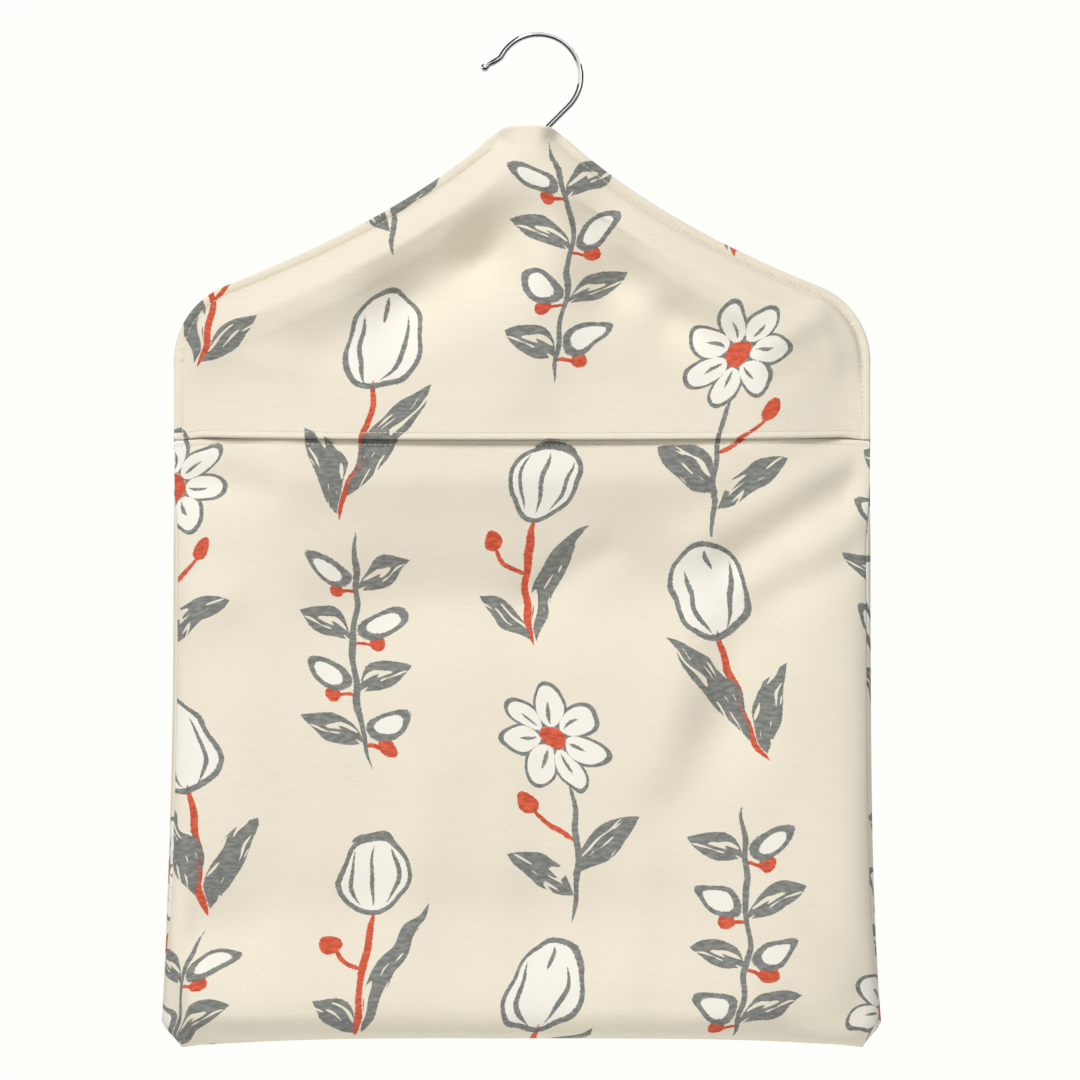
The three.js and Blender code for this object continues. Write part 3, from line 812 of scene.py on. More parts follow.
def smooth(t):
    t = np.clip(t, 0, 1)
    return t * t * (3 - 2 * t)


def mix(a, b, t):
    return a + (b - a) * t


def quarterRound(t):
    return np.sqrt(1 - (1 - np.clip(t, 0, 1)) ** 2)


def bell(t):
    return np.exp(-np.square(t))


def upperEdge():
    # columns along the yoke's upper edge from left to right: x, z and how far round the shoulder
    sides = []
    for side in (-1, 1):
        start = np.array([bag["neckHalf"] + side * bag["neckLean"], bag["neckTop"]])
        end = np.array([shoulderX, bag["neckTop"] - bag["shoulderDrop"]])
        run, fall = end[0] - start[0], start[1] - end[1]
        turn = math.sin(bag["neckSlope"] - bag["shoulderSlope"])
        reach = (fall * math.cos(bag["shoulderSlope"]) - run * math.sin(bag["shoulderSlope"])) / turn
        corner = start + reach * np.array([math.cos(bag["neckSlope"]), -math.sin(bag["neckSlope"])])
        t = (np.arange(1, sewing["slopeColumns"]) / sewing["slopeColumns"])[:, None]
        slope = (1 - t) ** 2 * start + 2 * t * (1 - t) * corner + t**2 * end
        rim = np.arange(sewing["shoulderColumns"] + 1) / sewing["shoulderColumns"]
        angle = (math.pi / 2 - bag["shoulderSlope"]) * (1 - rim)
        radius = bag["shoulderRadius"]
        arcX = bag["half"] - radius * (1 - np.cos(angle))
        arcZ = end[1] - radius * (math.cos(bag["shoulderSlope"]) - np.sin(angle))
        x = side * np.concatenate([slope[:, 0], arcX])
        z = np.concatenate([slope[:, 1], arcZ])
        sides.append((x, z, np.concatenate([np.zeros(len(t)), rim])))
    count = sewing["neckColumns"]
    neckX = bag["neckLean"] + np.arange(-count, count + 1) / count * bag["neckHalf"]
    neckZ = np.full(len(neckX), bag["neckTop"])
    parts = [[part[::-1] for part in sides[0]], [neckX, neckZ, np.zeros(len(neckX))], list(sides[1])]
    x, z, rim = (np.concatenate([part[i] for part in parts]) for i in range(3))
    beyond = np.abs(x - bag["neckLean"]) - bag["neckHalf"]
    drop = math.tan(bag["neckSlope"]) * (np.hypot(beyond, bag["neckRounding"]) - np.abs(beyond)) / 2
    return x, z - drop, rim


edgeX, edgeZ, edgeRim = upperEdge()
# the same edge with its neck blurred, which the cloth's falls are measured from
blur = bell((edgeX[:, None] - edgeX) / bag["edgeBlur"]) * np.gradient(edgeX)
pastNeck = np.abs(edgeX - bag["neckLean"]) - bag["blurHalf"]
nearNeckTop = 1 - np.clip(pastNeck / bag["blurFade"], 0, 1)
fallTopZ = edgeZ + nearNeckTop * ((blur @ edgeZ) / blur.sum(axis=1) - edgeZ)
edgeSide = np.where(edgeX < 0, -1.0, 1.0)
edgeTilt = np.minimum(2.0, np.hypot(1, np.gradient(edgeZ, edgeX)))
edgeRun = np.concatenate([[0], np.cumsum(np.hypot(np.diff(edgeX), np.diff(edgeZ)))])


def edgeDistance(x, z, top):
    # distance to the outline below a height, and how far along the outline the nearest place is
    nearest = bag["half"] - np.abs(x)
    along = edgeRun[-1] + (edgeZ[-1] - z)
    for i in range(1, len(edgeX)):
        low, high = (i - 1, i) if edgeZ[i - 1] < edgeZ[i] else (i, i - 1)
        if edgeZ[low] >= top:
            continue
        share = (top - edgeZ[low]) / (edgeZ[high] - edgeZ[low]) if edgeZ[high] > top else 1.0
        runX, runZ = (edgeX[high] - edgeX[low]) * share, (edgeZ[high] - edgeZ[low]) * share
        t = np.clip(((x - edgeX[low]) * runX + (z - edgeZ[low]) * runZ) / (runX**2 + runZ**2), 0, 1)
        gap = np.hypot(x - edgeX[low] - t * runX, z - edgeZ[low] - t * runZ)
        closer = gap < nearest
        nearest = np.where(closer, gap, nearest)
        along = np.where(closer, edgeRun[low] + t * share * (edgeRun[high] - edgeRun[low]), along)
    return nearest, along


def crossShape(share):
    return np.sqrt(1 - np.minimum(1, np.abs(share)) ** bag["crossPower"])


def slitHeight(x):
    sewnIn = smooth((np.abs(x) - bag["half"]) / bag["slitEndRun"] + 1)
    return slitZ + bag["slitDroop"] * (np.abs(x) / bag["half"]) ** 3 - bag["slitEndDrop"] * sewnIn


def hemFront(x):
    share = x / bag["half"]
    stand = bag["mouthStand"] + bag["mouthGape"]
    return bag["mouthDepth"] * crossShape(share) + bag["hemStack"] + stand * (1 - share**2)


def flangeLift(gap, hanging, nearNeck, unsewn):
    # how far the cloth has risen inside its sewn edge: at once over an arm, slowly where it hangs free
    inside = gap - bag["flangeWidth"]
    overArm = quarterRound(inside / (bag["flangeRise"] * (1 + bag["neckFlange"] * nearNeck)))
    overArm = mix(overArm, smooth(inside / bag["neckRise"]), unsewn)
    return mix(overArm, smooth(inside / bag["sideRise"]), hanging)


def upperDepth(x, z, topZ, hem, valley, seamGap):
    band = mix(bag["armBandMiddle"], bag["armBandEnd"], np.clip(np.abs(x) / bag["hangerHalf"], 0, 1))
    fallen = topZ - z
    below = np.clip((fallen - band) / np.maximum(topZ - slitZ - band, bag["leastFall"]), 0, 1)
    nearNeck = 1 - smooth(np.hypot(x - bag["neckLean"], fallen) / bag["neckSpread"])
    neckDepth = mix(bag["neckTopDepth"], bag["neckDepth"], smooth(fallen / bag["neckTopRun"]))
    # the cloth stands open in front of the wire and behind it, so that the hook can turn
    overWire = bell((x + bag["offset"]) / bag["hookBulgeWidth"]) * (1 - smooth(fallen / bag["hookBulgeRun"]))
    neckDepth = neckDepth + bag["hookBulge"] * overWire
    swell = smooth((seamGap - bag["armSwellStart"]) / bag["armSwellRun"])
    overArm = mix(bag["armDepth"], neckDepth, nearNeck) + bag["armSwell"] * (1 - nearNeck) * swell
    hollow = valley * smooth((np.abs(x) - bag["coneHalf"] / 2) / bag["coneHalf"])
    full = mix(overArm, hem, smooth(below)) - hollow * np.sin(math.pi * np.sqrt(below)) ** 2
    hanging = smooth((bag["sideStart"] - z) / bag["sideRun"])
    unsewn = smooth((z - seamTopZ + bag["neckStart"]) / bag["neckRun"])
    return mix(bag["flangeDepth"], full, flangeLift(seamGap, hanging, nearNeck, unsewn))


def section(z):
    down = np.clip((slitZ - z) / (slitZ - bottomZ), 0, 1)
    flare = np.clip((bottomZ + bag["flareRun"] - z) / bag["flareRun"], 0, 1)
    stand = bag["mouthStand"] * (1 - smooth((slitZ - z) / bag["standRun"]))
    return {
        "half": mix(bag["half"], bag["baseHalf"], flare ** np.where(edgeSide < 0, *bag["flarePowers"])),
        "front": mix(bag["mouthDepth"], bag["bellyDepth"], smooth(down * bag["bellyRun"])) + stand,
        "back": mix(bag["backDepth"], bag["baseBackDepth"], smooth(down)),
        "axis": -bag["baseAxisShift"] * smooth(down),
        "seam": 1 - smooth((bottomZ + bag["seamFade"] + bag["creaseRadius"] - z) / bag["seamFade"]),
        "box": mix(1, bag["boxedPower"], smooth(down)),
    }


seamAngle = math.asin(crossShape(1 - bag["seamInset"] / bag["half"]))


def lowerPoint(z, inset, squeeze, front):
    # a point of the pocket or the lower back for every column, at rows of one height each
    whole = np.broadcast(z, edgeX).shape
    z, inset, squeeze = (np.broadcast_to(value, whole) for value in (z, inset, squeeze))
    shape = section(z)
    corner = np.clip((bottomZ + bag["cornerRise"] - z) / bag["cornerRise"], 0, 1)
    half = shape["half"] - bag["cornerCut"] * corner
    frontDepth = shape["front"] - inset
    backDepth = shape["back"] - inset
    sewnFlat = 1 - smooth((slitZ - z) / bag["wrapRun"])
    edge = seamAngle * shape["seam"] * (1 - sewnFlat)
    share = np.sin(edge) ** shape["box"] + bag["seamGroove"] / np.maximum(frontDepth, bag["seamGroove"])
    groove = np.arcsin(np.minimum(1, share ** (1 / shape["box"])))
    onRim = edgeRim > 0
    reach = np.where(onRim, shoulderX, np.abs(edgeX)) / bag["half"]
    inner = np.arccos(np.minimum(1, reach ** (bag["crossPower"] / 2)))
    angle = np.where(onRim, mix(inner, groove if front else -edge, edgeRim), inner)
    x = edgeSide * half * np.cos(angle) ** (2 / bag["crossPower"])
    forward = (angle > 0) == front
    depth = np.where(forward, frontDepth, backDepth) * np.abs(np.sin(angle)) ** shape["box"] * squeeze
    y = shape["axis"] + np.where(forward, -depth, depth)
    y = y + (squeeze == 0) * bag["baseGap"] * (-1 if front else 1)
    # next to the slit's ends the cloth starts as flat as the sewn edge above them
    x = mix(x, edgeX, sewnFlat)
    risen = flangeLift(bag["half"] - np.abs(x), 1, 0, 0)
    full = (frontDepth if front else backDepth) * crossShape(x / bag["half"])
    y = mix(y, mix(bag["flangeDepth"], full, risen) * (-1 if front else 1), sewnFlat)
    baseDepth = bag["baseBackDepth"] + bag["bellyDepth"]
    low = smooth(1 - (z - bottomZ) / baseDepth)
    lift = low * bag["bottomBow"] * (1 - np.abs(edgeX / bag["half"]) ** 3)
    tilt = low * bag["baseTilt"] * (shape["axis"] - y) / baseDepth
    return np.stack([x, y, z + lift + tilt], axis=-1)


def creaseRows():
    # round the crease and in under the base to its middle: height, inset and squeeze of each row
    rows = []
    radius = bag["creaseRadius"]
    for step in range(1, bag["creaseSteps"] + 1):
        angle = math.pi / 2 * step / bag["creaseSteps"]
        rows.append((bottomZ + radius * (1 - math.sin(angle)), radius * (1 - math.cos(angle)), 1.0))
    return np.array(rows + [(bottomZ, radius, squeeze) for squeeze in bag["baseSqueezes"]])


# folds and soft swells of the cloth: from x, z to x, z in millimetres, half width, and depth, which is
# outwards above zero
yokeFolds = (
    ((3, -79), (-17, -98), 16, -10.0),
    ((-17, -98), (-50, -117), 18, -10.4),
    ((-48, -118), (-86, -141), 16, -4.6),
    ((29, -88), (42, -110), 15, -9.0),
    ((42, -110), (66, -126), 15, -6.2),
    ((66, -127), (92, -138), 11, -4.4),
    ((6, -74), (0, -150), 19, 4.0),
    ((106, -141), (132, -122), 6, 1.5),
    ((114, -150), (140, -132), 8, -0.9),
    ((-112, -144), (-84, -152), 7, 0.9),
    ((-128, -128), (-60, -96), 7, 0.5),
)
pocketFolds = (
    ((79, -224), (141, -189), 10, 3.6),
    ((94, -232), (147, -198), 9, -3.7),
    ((100, -243), (151, -216), 7, 1.9),
    ((112, -252), (150, -232), 7, -1.5),
    ((112, -244), (96, -272), 15, -3.6),
    ((97, -270), (90, -306), 17, -4.8),
    ((90, -304), (68, -340), 17, -4.4),
    ((78, -262), (64, -322), 13, 2.2),
    ((2, -249), (37, -229), 8, -2.6),
    ((-60, -251), (72, -246), 28, -10.5),
    ((-84, -252), (10, -250), 14, -1.6),
    ((-150, -198), (-116, -200), 9, -3.4),
    ((-112, -197), (84, -197), 13, 3.4),
    ((-146, -258), (-132, -250), 11, 3.2),
    ((-152, -394), (-128, -398), 15, -4.6),
    ((-128, -300), (-116, -352), 12, 1.2),
    ((112, -390), (132, -420), 15, 3.8),
    ((-136, -429), (100, -430), 20, 9.8),
    ((20, -424), (96, -427), 3, -0.7),
    ((-130, -386), (40, -388), 17, -3.4),
    ((-44, -330), (-50, -400), 13, 1.8),
    ((14, -300), (6, -400), 13, -1.6),
    ((52, -372), (46, -420), 11, 1.6),
)
backFolds = (
    ((-60, -100), (-20, -160), 12, -1.4),
    ((70, -112), (30, -170), 12, -1.6),
    ((-140, -190), (-90, -260), 11, -1.6),
    ((138, -196), (96, -250), 11, -1.3),
    ((-30, -240), (-26, -400), 12, -0.9),
    ((58, -260), (64, -410), 11, 1.0),
    ((-100, -300), (-96, -420), 11, 0.8),
)


def foldDepth(points, folds, seed, swell):
    x, z = points[..., 0], points[..., 2]
    total = np.zeros(x.shape)
    for (startX, startZ), (endX, endZ), width, depth in folds:
        runX, runZ = endX - startX, endZ - startZ
        length = math.hypot(runX, runZ)
        along = ((x - startX) * runX + (z - startZ) * runZ) / length
        across = ((x - startX) * runZ - (z - startZ) * runX) / length
        beyond = np.maximum(0, np.maximum(-along, along - length)) / width
        total += depth * bell(across / width) * bell(beyond)
    dice = np.random.default_rng(seed)
    for _ in range(bag["swellWaves"]):
        heading = dice.uniform(0, math.pi)
        wave = 2 * math.pi / dice.uniform(*bag["swellLengths"])
        phase = dice.uniform(0, 2 * math.pi)
        place = x * math.cos(heading) + z * math.sin(heading)
        total += swell * bag["swellShare"] * np.sin(wave * place + phase)
    return total


def sheetNormals(points, outward):
    across = np.gradient(points, axis=1)
    down = np.gradient(points, axis=0)
    normals = np.cross(across, down) * outward
    return normals / np.maximum(np.linalg.norm(normals, axis=-1, keepdims=True), 1e-9)


def runAlong(points):
    # how far each point lies along its row
    steps = np.linalg.norm(np.diff(points, axis=1), axis=-1)
    return np.concatenate([np.zeros((len(steps), 1)), np.cumsum(steps, axis=1)], axis=1)


def flatPlaces(points, anchorRow, anchorZ, facing):
    # where each point lay on the flat cloth, with the ribs level and the anchor row at its own height;
    # above the slit the pattern goes straight back on to the cloth
    share = smooth((slitZ - points[..., 2]) / bag["patternFade"])
    across = np.gradient(points, axis=1)
    down = np.gradient(points, axis=0)
    lean = np.clip(down[..., 1] / np.minimum(down[..., 2], -1e-3), -bag["steepest"], bag["steepest"])
    level = np.stack([points[..., 0], 0 * lean], axis=-1)
    level[:, 1:, 1] = np.cumsum((across[..., 1] - lean * across[..., 2])[:, 1:], axis=1)
    level[..., 1] *= share
    run = runAlong(level)
    middle = np.argmin(np.abs(edgeX))
    run = (run - run[:, middle : middle + 1]) * -facing
    steps = np.hypot(np.diff(points[..., 1], axis=0) * share[1:], np.diff(points[..., 2], axis=0))
    fall = np.concatenate([0 * steps[:1], np.cumsum(steps, axis=0)])
    return np.stack([run, anchorZ - (fall - fall[anchorRow])], axis=-1)


# heights of the rows of points below an upper edge and above a hem's edge, close where the cloth turns
edgeRows = np.array(
    [0, 0.12, 0.3, 0.55, 0.9, 1.4, 2, 2.6, 3.1, 3.5, 3.9, 4.3, 4.7, 5.2, 5.9, 6.8, 7.8, 9, 10.4, 12, 14]
)
hemRows = np.array([7, 6, 5.2, 4.6, 4.1, 3.7, 3.3, 3.0, 2.7, 2.3, 1.8, 1.3, 0.8])
# the folded edge of a hem, round to the inside: how far behind its face, and how high above its edge
curlBack = np.array([0.16, 0.45, 0.85, 1.2, 1.42, 1.5, 1.5, 1.46])
curlHeight = np.array([0.32, 0.1, 0.0, 0.12, 0.45, 1.0, 2.0, 3.1])
curlCount = len(curlBack)


def upperRows(lowZ, count):
    fit = np.minimum(1, (edgeZ - lowZ) / 3 / (edgeRows[-1] * edgeTilt))
    first = edgeZ - edgeRows[:, None] * edgeTilt * fit
    steps = (np.arange(1, count + 1) / count)[:, None]
    return np.concatenate([first, mix(first[-1], lowZ, steps)])


def sewnRelief(gap, width, roll, pull, pullWidth):
    # the roll between an edge and its stitches, and the line that they pull in
    rolled = np.where(gap < width, np.sin(math.pi * np.clip(gap / width, 0, 1)), 0)
    return roll * rolled - pull * bell((gap - width) / pullWidth)


def hemRelief(height, pull):
    return sewnRelief(height, sewing["hemWidth"], sewing["hemRoll"], pull, sewing["hemPullWidth"])


def edgeRelief(gap, z):
    sizes = (sewing[name] for name in ("topstitch", "edgeRoll", "edgePull", "edgePullWidth"))
    relief = sewnRelief(gap, *sizes)
    return smooth((seamTopZ - z) / bag["neckRun"]) * relief


def turnedEdge(gap):
    # how far an edge has turned in at a distance from it, as a share
    return 1 - quarterRound(gap / sewing["edgeRound"])


def bottomFade(points):
    return smooth((points[..., 2] - bottomZ - bag["foldEnd"]) / bag["foldEndRun"])


def surfaceTree(*meshes):
    # the faces of one or more meshes as one tree to cast rays at
    points, faces = [], []
    for mesh in meshes:
        faces += [tuple(len(points) + index for index in face.vertices) for face in mesh.polygons]
        points += [vert.co.copy() for vert in mesh.vertices]
    return BVHTree.FromPolygons(points, faces)


armTree = surfaceTree(*(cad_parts[name].data for name in ("left_arm", "right_arm")))


def sidesOf(values):
    # what the four neighbours of each place hold
    grown = np.pad(values, 1, mode="edge")
    return [grown[1:-1, :-2], grown[1:-1, 2:], grown[:-2, 1:-1], grown[2:, 1:-1]]


armCover = {"zRange": (-145, -48), "castFrom": 0.05, "clearance": 0.2, "spread": 3, "smoothings": 3}


def coverArms(points, facing):
    # lifts the cloth where it would sink into the hanger's arms, and a little round that place
    low, high = armCover["zRange"]
    wall = sewing["clothWall"] + armCover["clearance"]
    need = np.zeros(points.shape[:2])
    for row, column in np.ndindex(need.shape):
        x, y, z = points[row, column]
        if low <= z <= high:
            start = Vector(((x + bag["offset"]) * mm, facing * armCover["castFrom"], z * mm))
            hit = armTree.ray_cast(start, Vector((0, -facing, 0)))[0]
            if hit is not None:
                need[row, column] = max(0, facing * (hit.y / mm - y) + wall)
    for _ in range(armCover["spread"]):
        need = np.max([need, *sidesOf(need)], axis=0)
    for _ in range(armCover["smoothings"]):
        need = (sum(sidesOf(need)) + 2 * need) / 6
    points[..., 1] += facing * need
    print("cloth lifted off the arms by up to", round(float(need.max()), 2), "mm")


yokeCut = {
    "rows": 50,
    "leanFade": 40.0,
    "leanRounding": 0.07,
    "hemPull": 0.15,
    "reliefFade": 9.0,
    "roomStart": 0.4,
    "roomRun": 2.2,
    "leastRoom": 0.12,
    "foldFade": 14.0,
    "foldRise": 16.0,
    "hemFolds": 0.25,
    "seed": 11,
    "swell": 0.35,
    "hemFlare": 0.5,
    "flareHeight": 3.0,
    "cornerHeight": 4.5,
    "cornerGap": 6.5,
    "cornerFade": 2.5,
    "cornerAway": 6.0,
}


def buildYoke():
    low = slitHeight(edgeX)
    z = upperRows(low + hemRows[0] + 1, yokeCut["rows"])
    z = np.concatenate([z, low + hemRows[:, None] + 0 * edgeX, low + curlHeight[:, None] + 0 * edgeX])
    x = np.broadcast_to(edgeX, z.shape)
    seamGap, along = edgeDistance(x, z, seamTopZ)
    outGap, _ = edgeDistance(x, z, bag["neckTop"] + 1)
    height = z - low
    folded = slice(len(z) - curlCount, len(z))
    lean = bag["facingLean"] * smooth((bag["half"] - np.abs(x)) / yokeCut["leanFade"])
    forward = 1 - height / bag["facingWidth"]
    forward = (forward + np.hypot(forward, yokeCut["leanRounding"])) / 2
    depth = upperDepth(x, z, fallTopZ, hemFront(x) - lean, bag["valleyDepth"], seamGap) + lean * forward
    relief = hemRelief(height, yokeCut["hemPull"]) * smooth(outGap / yokeCut["reliefFade"])
    relief[folded] = 0
    # near the side seams there is less room for the relief and for the hem's fold
    room = np.clip((depth - yokeCut["roomStart"]) / yokeCut["roomRun"], yokeCut["leastRoom"], 1)
    depth = depth + relief * room + edgeRelief(seamGap, z)
    points = np.stack([x, -depth, z], axis=-1)
    points[folded, :, 0] *= 1 - sewing["hemTuck"]
    fade = smooth((height - 1) / yokeCut["foldRise"] + yokeCut["hemFolds"])
    normals = sheetNormals(points, -1)
    push = foldDepth(points, yokeFolds, yokeCut["seed"], yokeCut["swell"])
    push = push * (smooth(outGap / yokeCut["foldFade"]) * fade)
    push[folded] = push[-curlCount - 1]
    normals[-curlCount - 2 :] = (0, -1, 0)
    roll = np.minimum(depth, sewing["edgeTurn"]) - sewing["halfWall"]
    points = points + normals * (push - roll * turnedEdge(outGap))[..., None]
    coverArms(points, -1)
    points[folded, :, 1] += curlBack[:, None] * room[folded]
    flare = smooth(outGap / sewing["hemEnds"]) * bell(np.maximum(height, 0) / yokeCut["flareHeight"])
    points[..., 1] -= yokeCut["hemFlare"] * flare
    # the two rows of stitches leave the corner plain, where one takes over from the other
    edgeShare = smooth((height - yokeCut["cornerHeight"]) / yokeCut["cornerFade"])
    hemShare = smooth((seamGap - yokeCut["cornerGap"]) / yokeCut["cornerFade"])
    edgeAway = seamGap - sewing["topstitch"] + yokeCut["cornerAway"] * (1 - edgeShare)
    hemAway = height - sewing["hemWidth"] + yokeCut["cornerAway"] * (1 - hemShare)
    nearEdge = np.abs(edgeAway) < np.abs(hemAway)
    lines = np.where(nearEdge, edgeAway, hemAway), np.where(nearEdge, along, x)
    return points, lines, flatPlaces(points, len(z) - curlCount - 1, slitZ, -1)


def pocketTop(x):
    ends = smooth((bag["half"] - np.abs(x)) / bag["mouthEndWidth"] - bag["mouthEndShut"])
    return slitHeight(x) + mix(-bag["mouthEndGap"], bag["mouthOverlap"], ends)


def rollSides(points, outward, rows):
    # the side edges turn in where they are sewn
    run = runAlong(points)
    gap = np.minimum(run, run[:, -1:] - run)
    sewnFlat = 1 - smooth((slitZ - points[..., 2]) / bag["wrapRun"])
    amount = mix(bag["seamRoll"], bag["flangeDepth"] - sewing["halfWall"], sewnFlat)
    points[rows] -= (sheetNormals(points, outward) * (amount * turnedEdge(gap))[..., None])[rows]


def lowerBody(z, front):
    # the cloth at rows of given heights, then round the crease and in under the base
    crease = creaseRows()
    under = lowerPoint(crease[:, :1], crease[:, 1:2], crease[:, 2:], front)
    return np.concatenate([lowerPoint(z, 0.0, 1.0, front), under])


pocketCut = {
    "rows": 84,
    "hemPull": 0.05,
    "foldFade": 12.0,
    "foldRise": 22.0,
    "hemFolds": 0.2,
    "seed": 23,
    "swell": 0.5,
    "hemLean": 1.0,
    "leanHeight": 4.2,
}


def buildPocket():
    top = pocketTop(edgeX)
    z = top - np.concatenate([curlHeight[::-1], hemRows[::-1]])[:, None]
    body = mix(z[-1], creaseZ, np.linspace(0, 1, pocketCut["rows"])[1:, None])
    points = lowerBody(np.concatenate([z, body]), True)
    height = top - points[..., 2]
    relief = hemRelief(height, pocketCut["hemPull"])
    relief[:curlCount] = 0
    normals = sheetNormals(points, -1)
    normals[: curlCount + 2] = (0, -1, 0)
    outGap = bag["half"] - np.abs(points[..., 0])
    fade = smooth(outGap / pocketCut["foldFade"])
    fade = fade * smooth((height - 2) / pocketCut["foldRise"] + pocketCut["hemFolds"]) * bottomFade(points)
    push = foldDepth(points, pocketFolds, pocketCut["seed"], pocketCut["swell"]) * fade
    push[:curlCount] = push[curlCount]
    points = points + normals * (push + relief)[..., None]
    rollSides(points, -1, slice(0, len(points)))
    points[:curlCount, :, 1] += curlBack[::-1, None]
    lean = smooth(outGap / sewing["hemEnds"]) * bell(np.maximum(height, 0) / pocketCut["leanHeight"])
    points[..., 1] += pocketCut["hemLean"] * lean
    points[:curlCount, :, 0] *= 1 - sewing["hemTuck"]
    lines = height - sewing["hemWidth"], np.broadcast_to(edgeX, height.shape)
    return points, lines, flatPlaces(points, curlCount, slitZ, -1)


backCut = {
    "upperRows": 52,
    "joinDrop": 4.0,
    "joinRows": 5,
    "lowerRows": 84,
    "foldFade": 14.0,
    "seed": 37,
    "swell": 0.5,
    "patternShift": 60.0,
    "noStitch": 30.0,
}


def buildBack():
    hem = np.maximum(bag["backDepth"] * crossShape(edgeX / bag["half"]), bag["armDepth"])
    z = upperRows(slitZ + 0 * edgeX, backCut["upperRows"])
    x = np.broadcast_to(edgeX, z.shape)
    seamGap, along = edgeDistance(x, z, seamTopZ)
    outGap, _ = edgeDistance(x, z, bag["neckTop"] + 1)
    depth = upperDepth(x, z, fallTopZ, hem, bag["backValleyDepth"], seamGap) + edgeRelief(seamGap, z)
    upper = np.stack([x, depth, z], axis=-1)
    upperCount = len(upper)
    body = mix(slitZ - backCut["joinDrop"], creaseZ, np.linspace(0, 1, backCut["lowerRows"])[:, None])
    lower = lowerBody(body, False)
    between = smooth(np.linspace(0, 1, backCut["joinRows"] + 2)[1:-1])[:, None, None]
    points = np.concatenate([upper, mix(upper[-1], lower[0], between), lower])
    gap = np.concatenate([outGap, (bag["half"] - np.abs(points[..., 0]))[upperCount:]])
    fade = smooth(gap / backCut["foldFade"]) * bottomFade(points)
    normals = sheetNormals(points, 1)
    push = foldDepth(points, backFolds, backCut["seed"], backCut["swell"]) * fade
    push[:upperCount] -= (np.minimum(depth, sewing["edgeTurn"]) - sewing["halfWall"]) * turnedEdge(outGap)
    points = points + normals * push[..., None]
    coverArms(points, 1)
    rollSides(points, 1, slice(upperCount, len(points)))
    lineAway = np.full(points.shape[:2], backCut["noStitch"])
    lineAway[:upperCount] = seamGap - sewing["topstitch"]
    lineAlong = np.zeros(points.shape[:2])
    lineAlong[:upperCount] = along
    return points, (lineAway, lineAlong), flatPlaces(points, upperCount, slitZ - backCut["patternShift"], 1)


def makeSheet(name, points, lines, flat, flip):
    points[..., 0] += bag["offset"]
    rows, columns = points.shape[:2]
    bm = bmesh.new()
    bmesh.ops.create_grid(bm, x_segments=columns - 1, y_segments=rows - 1, size=1)
    for vert, place in zip(bm.verts, points.reshape(-1, 3) * mm):
        vert.co = place
    if flip:
        bmesh.ops.reverse_faces(bm, faces=bm.faces)
    sheet = addMesh(name, bm, printedCotton, cottonReverse)
    mesh = sheet.data
    mesh.shade_smooth()
    loops = np.empty(len(mesh.loops), dtype=np.int32)
    mesh.loops.foreach_get("vertex_index", loops)
    flat = (flat.reshape(-1, 2) * mm)[loops]
    mesh.uv_layers.new(name="clothFlat").data.foreach_set("uv", flat.ravel().astype(np.float32))
    for label, values in zip(("stitchAway", "stitchAlong"), lines):
        layer = mesh.attributes.new(label, "FLOAT", "POINT")
        layer.data.foreach_set("value", np.ascontiguousarray(values, dtype=np.float32).ravel())
    wall = sheet.modifiers.new("cloth wall", "SOLIDIFY")
    wall.thickness = sewing["clothWall"] * mm
    wall.offset = -1
    wall.material_offset = 1
    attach(sheet, "bag")
    return sheet, surfaceTree(mesh)


frontYoke, yokeSurface = makeSheet("yoke_cloth", *buildYoke(), True)
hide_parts("front_yoke")
frontPocket, pocketSurface = makeSheet("pocket_cloth", *buildPocket(), True)
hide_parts("front_pocket")
backPanel, backSurface = makeSheet("back_cloth", *buildBack(), False)
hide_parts("back_panel")
print("three cloth panels hung")

# stitches, each a short loop of thread half sunk in the cloth

stitchLook = {
    "pitch": 2.3,
    "length": 2.05,
    "radius": 0.2,
    "lift": 0.06,
    "sides": 6,
    "rings": 4,
    "hemPoints": 160,
    "hemEnds": 6.0,
    "sideEnd": 3.4,
    "neckEnd": 1.5,
    "castFrom": 0.2,
}


def sewLine(name, path, surface, facing):
    # a row of stitches along a path in x and z, on the cloth that a ray meets there
    look = stitchLook
    run = np.concatenate([[0], np.cumsum(np.linalg.norm(np.diff(path, axis=0), axis=1))])
    bm = bmesh.new()
    for i in range(int(run[-1] / look["pitch"])):
        ends = []
        for shift in (-0.5, 0.5):
            at = (i + 0.5) * look["pitch"] + shift * look["length"]
            x = np.interp(at, run, path[:, 0]) + bag["offset"]
            z = np.interp(at, run, path[:, 1])
            start = Vector((x * mm, facing * look["castFrom"], z * mm))
            ends.append(surface.ray_cast(start, Vector((0, -facing, 0)))[:2])
        (first, firstUp), (last, lastUp) = ends
        if first is None or last is None:
            continue
        along = (last - first).normalized()
        lift = (firstUp + lastUp).normalized()
        lift = (lift - along * lift.dot(along)).normalized()
        radius = look["radius"] * mm
        axes = (along * (look["length"] / 2 * mm), lift.cross(along) * radius, lift * radius)
        place = Matrix(axes).transposed().to_4x4()
        place.translation = (first + last) / 2 + lift * look["lift"] * mm
        place = place @ Matrix.Rotation(math.pi / 2, 4, "Y")
        bmesh.ops.create_uvsphere(
            bm, u_segments=look["sides"], v_segments=look["rings"], radius=1.0, matrix=place
        )
    bmesh.ops.recalc_face_normals(bm, faces=bm.faces)
    tips = [float(len(vert.link_edges) == look["sides"]) for vert in bm.verts]
    row = addMesh(name, bm, sewingThread)
    row.data.shade_smooth()
    row.data.attributes.new("stitchTip", "FLOAT", "POINT").data.foreach_set("value", tips)
    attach(row, "bag")
    return row


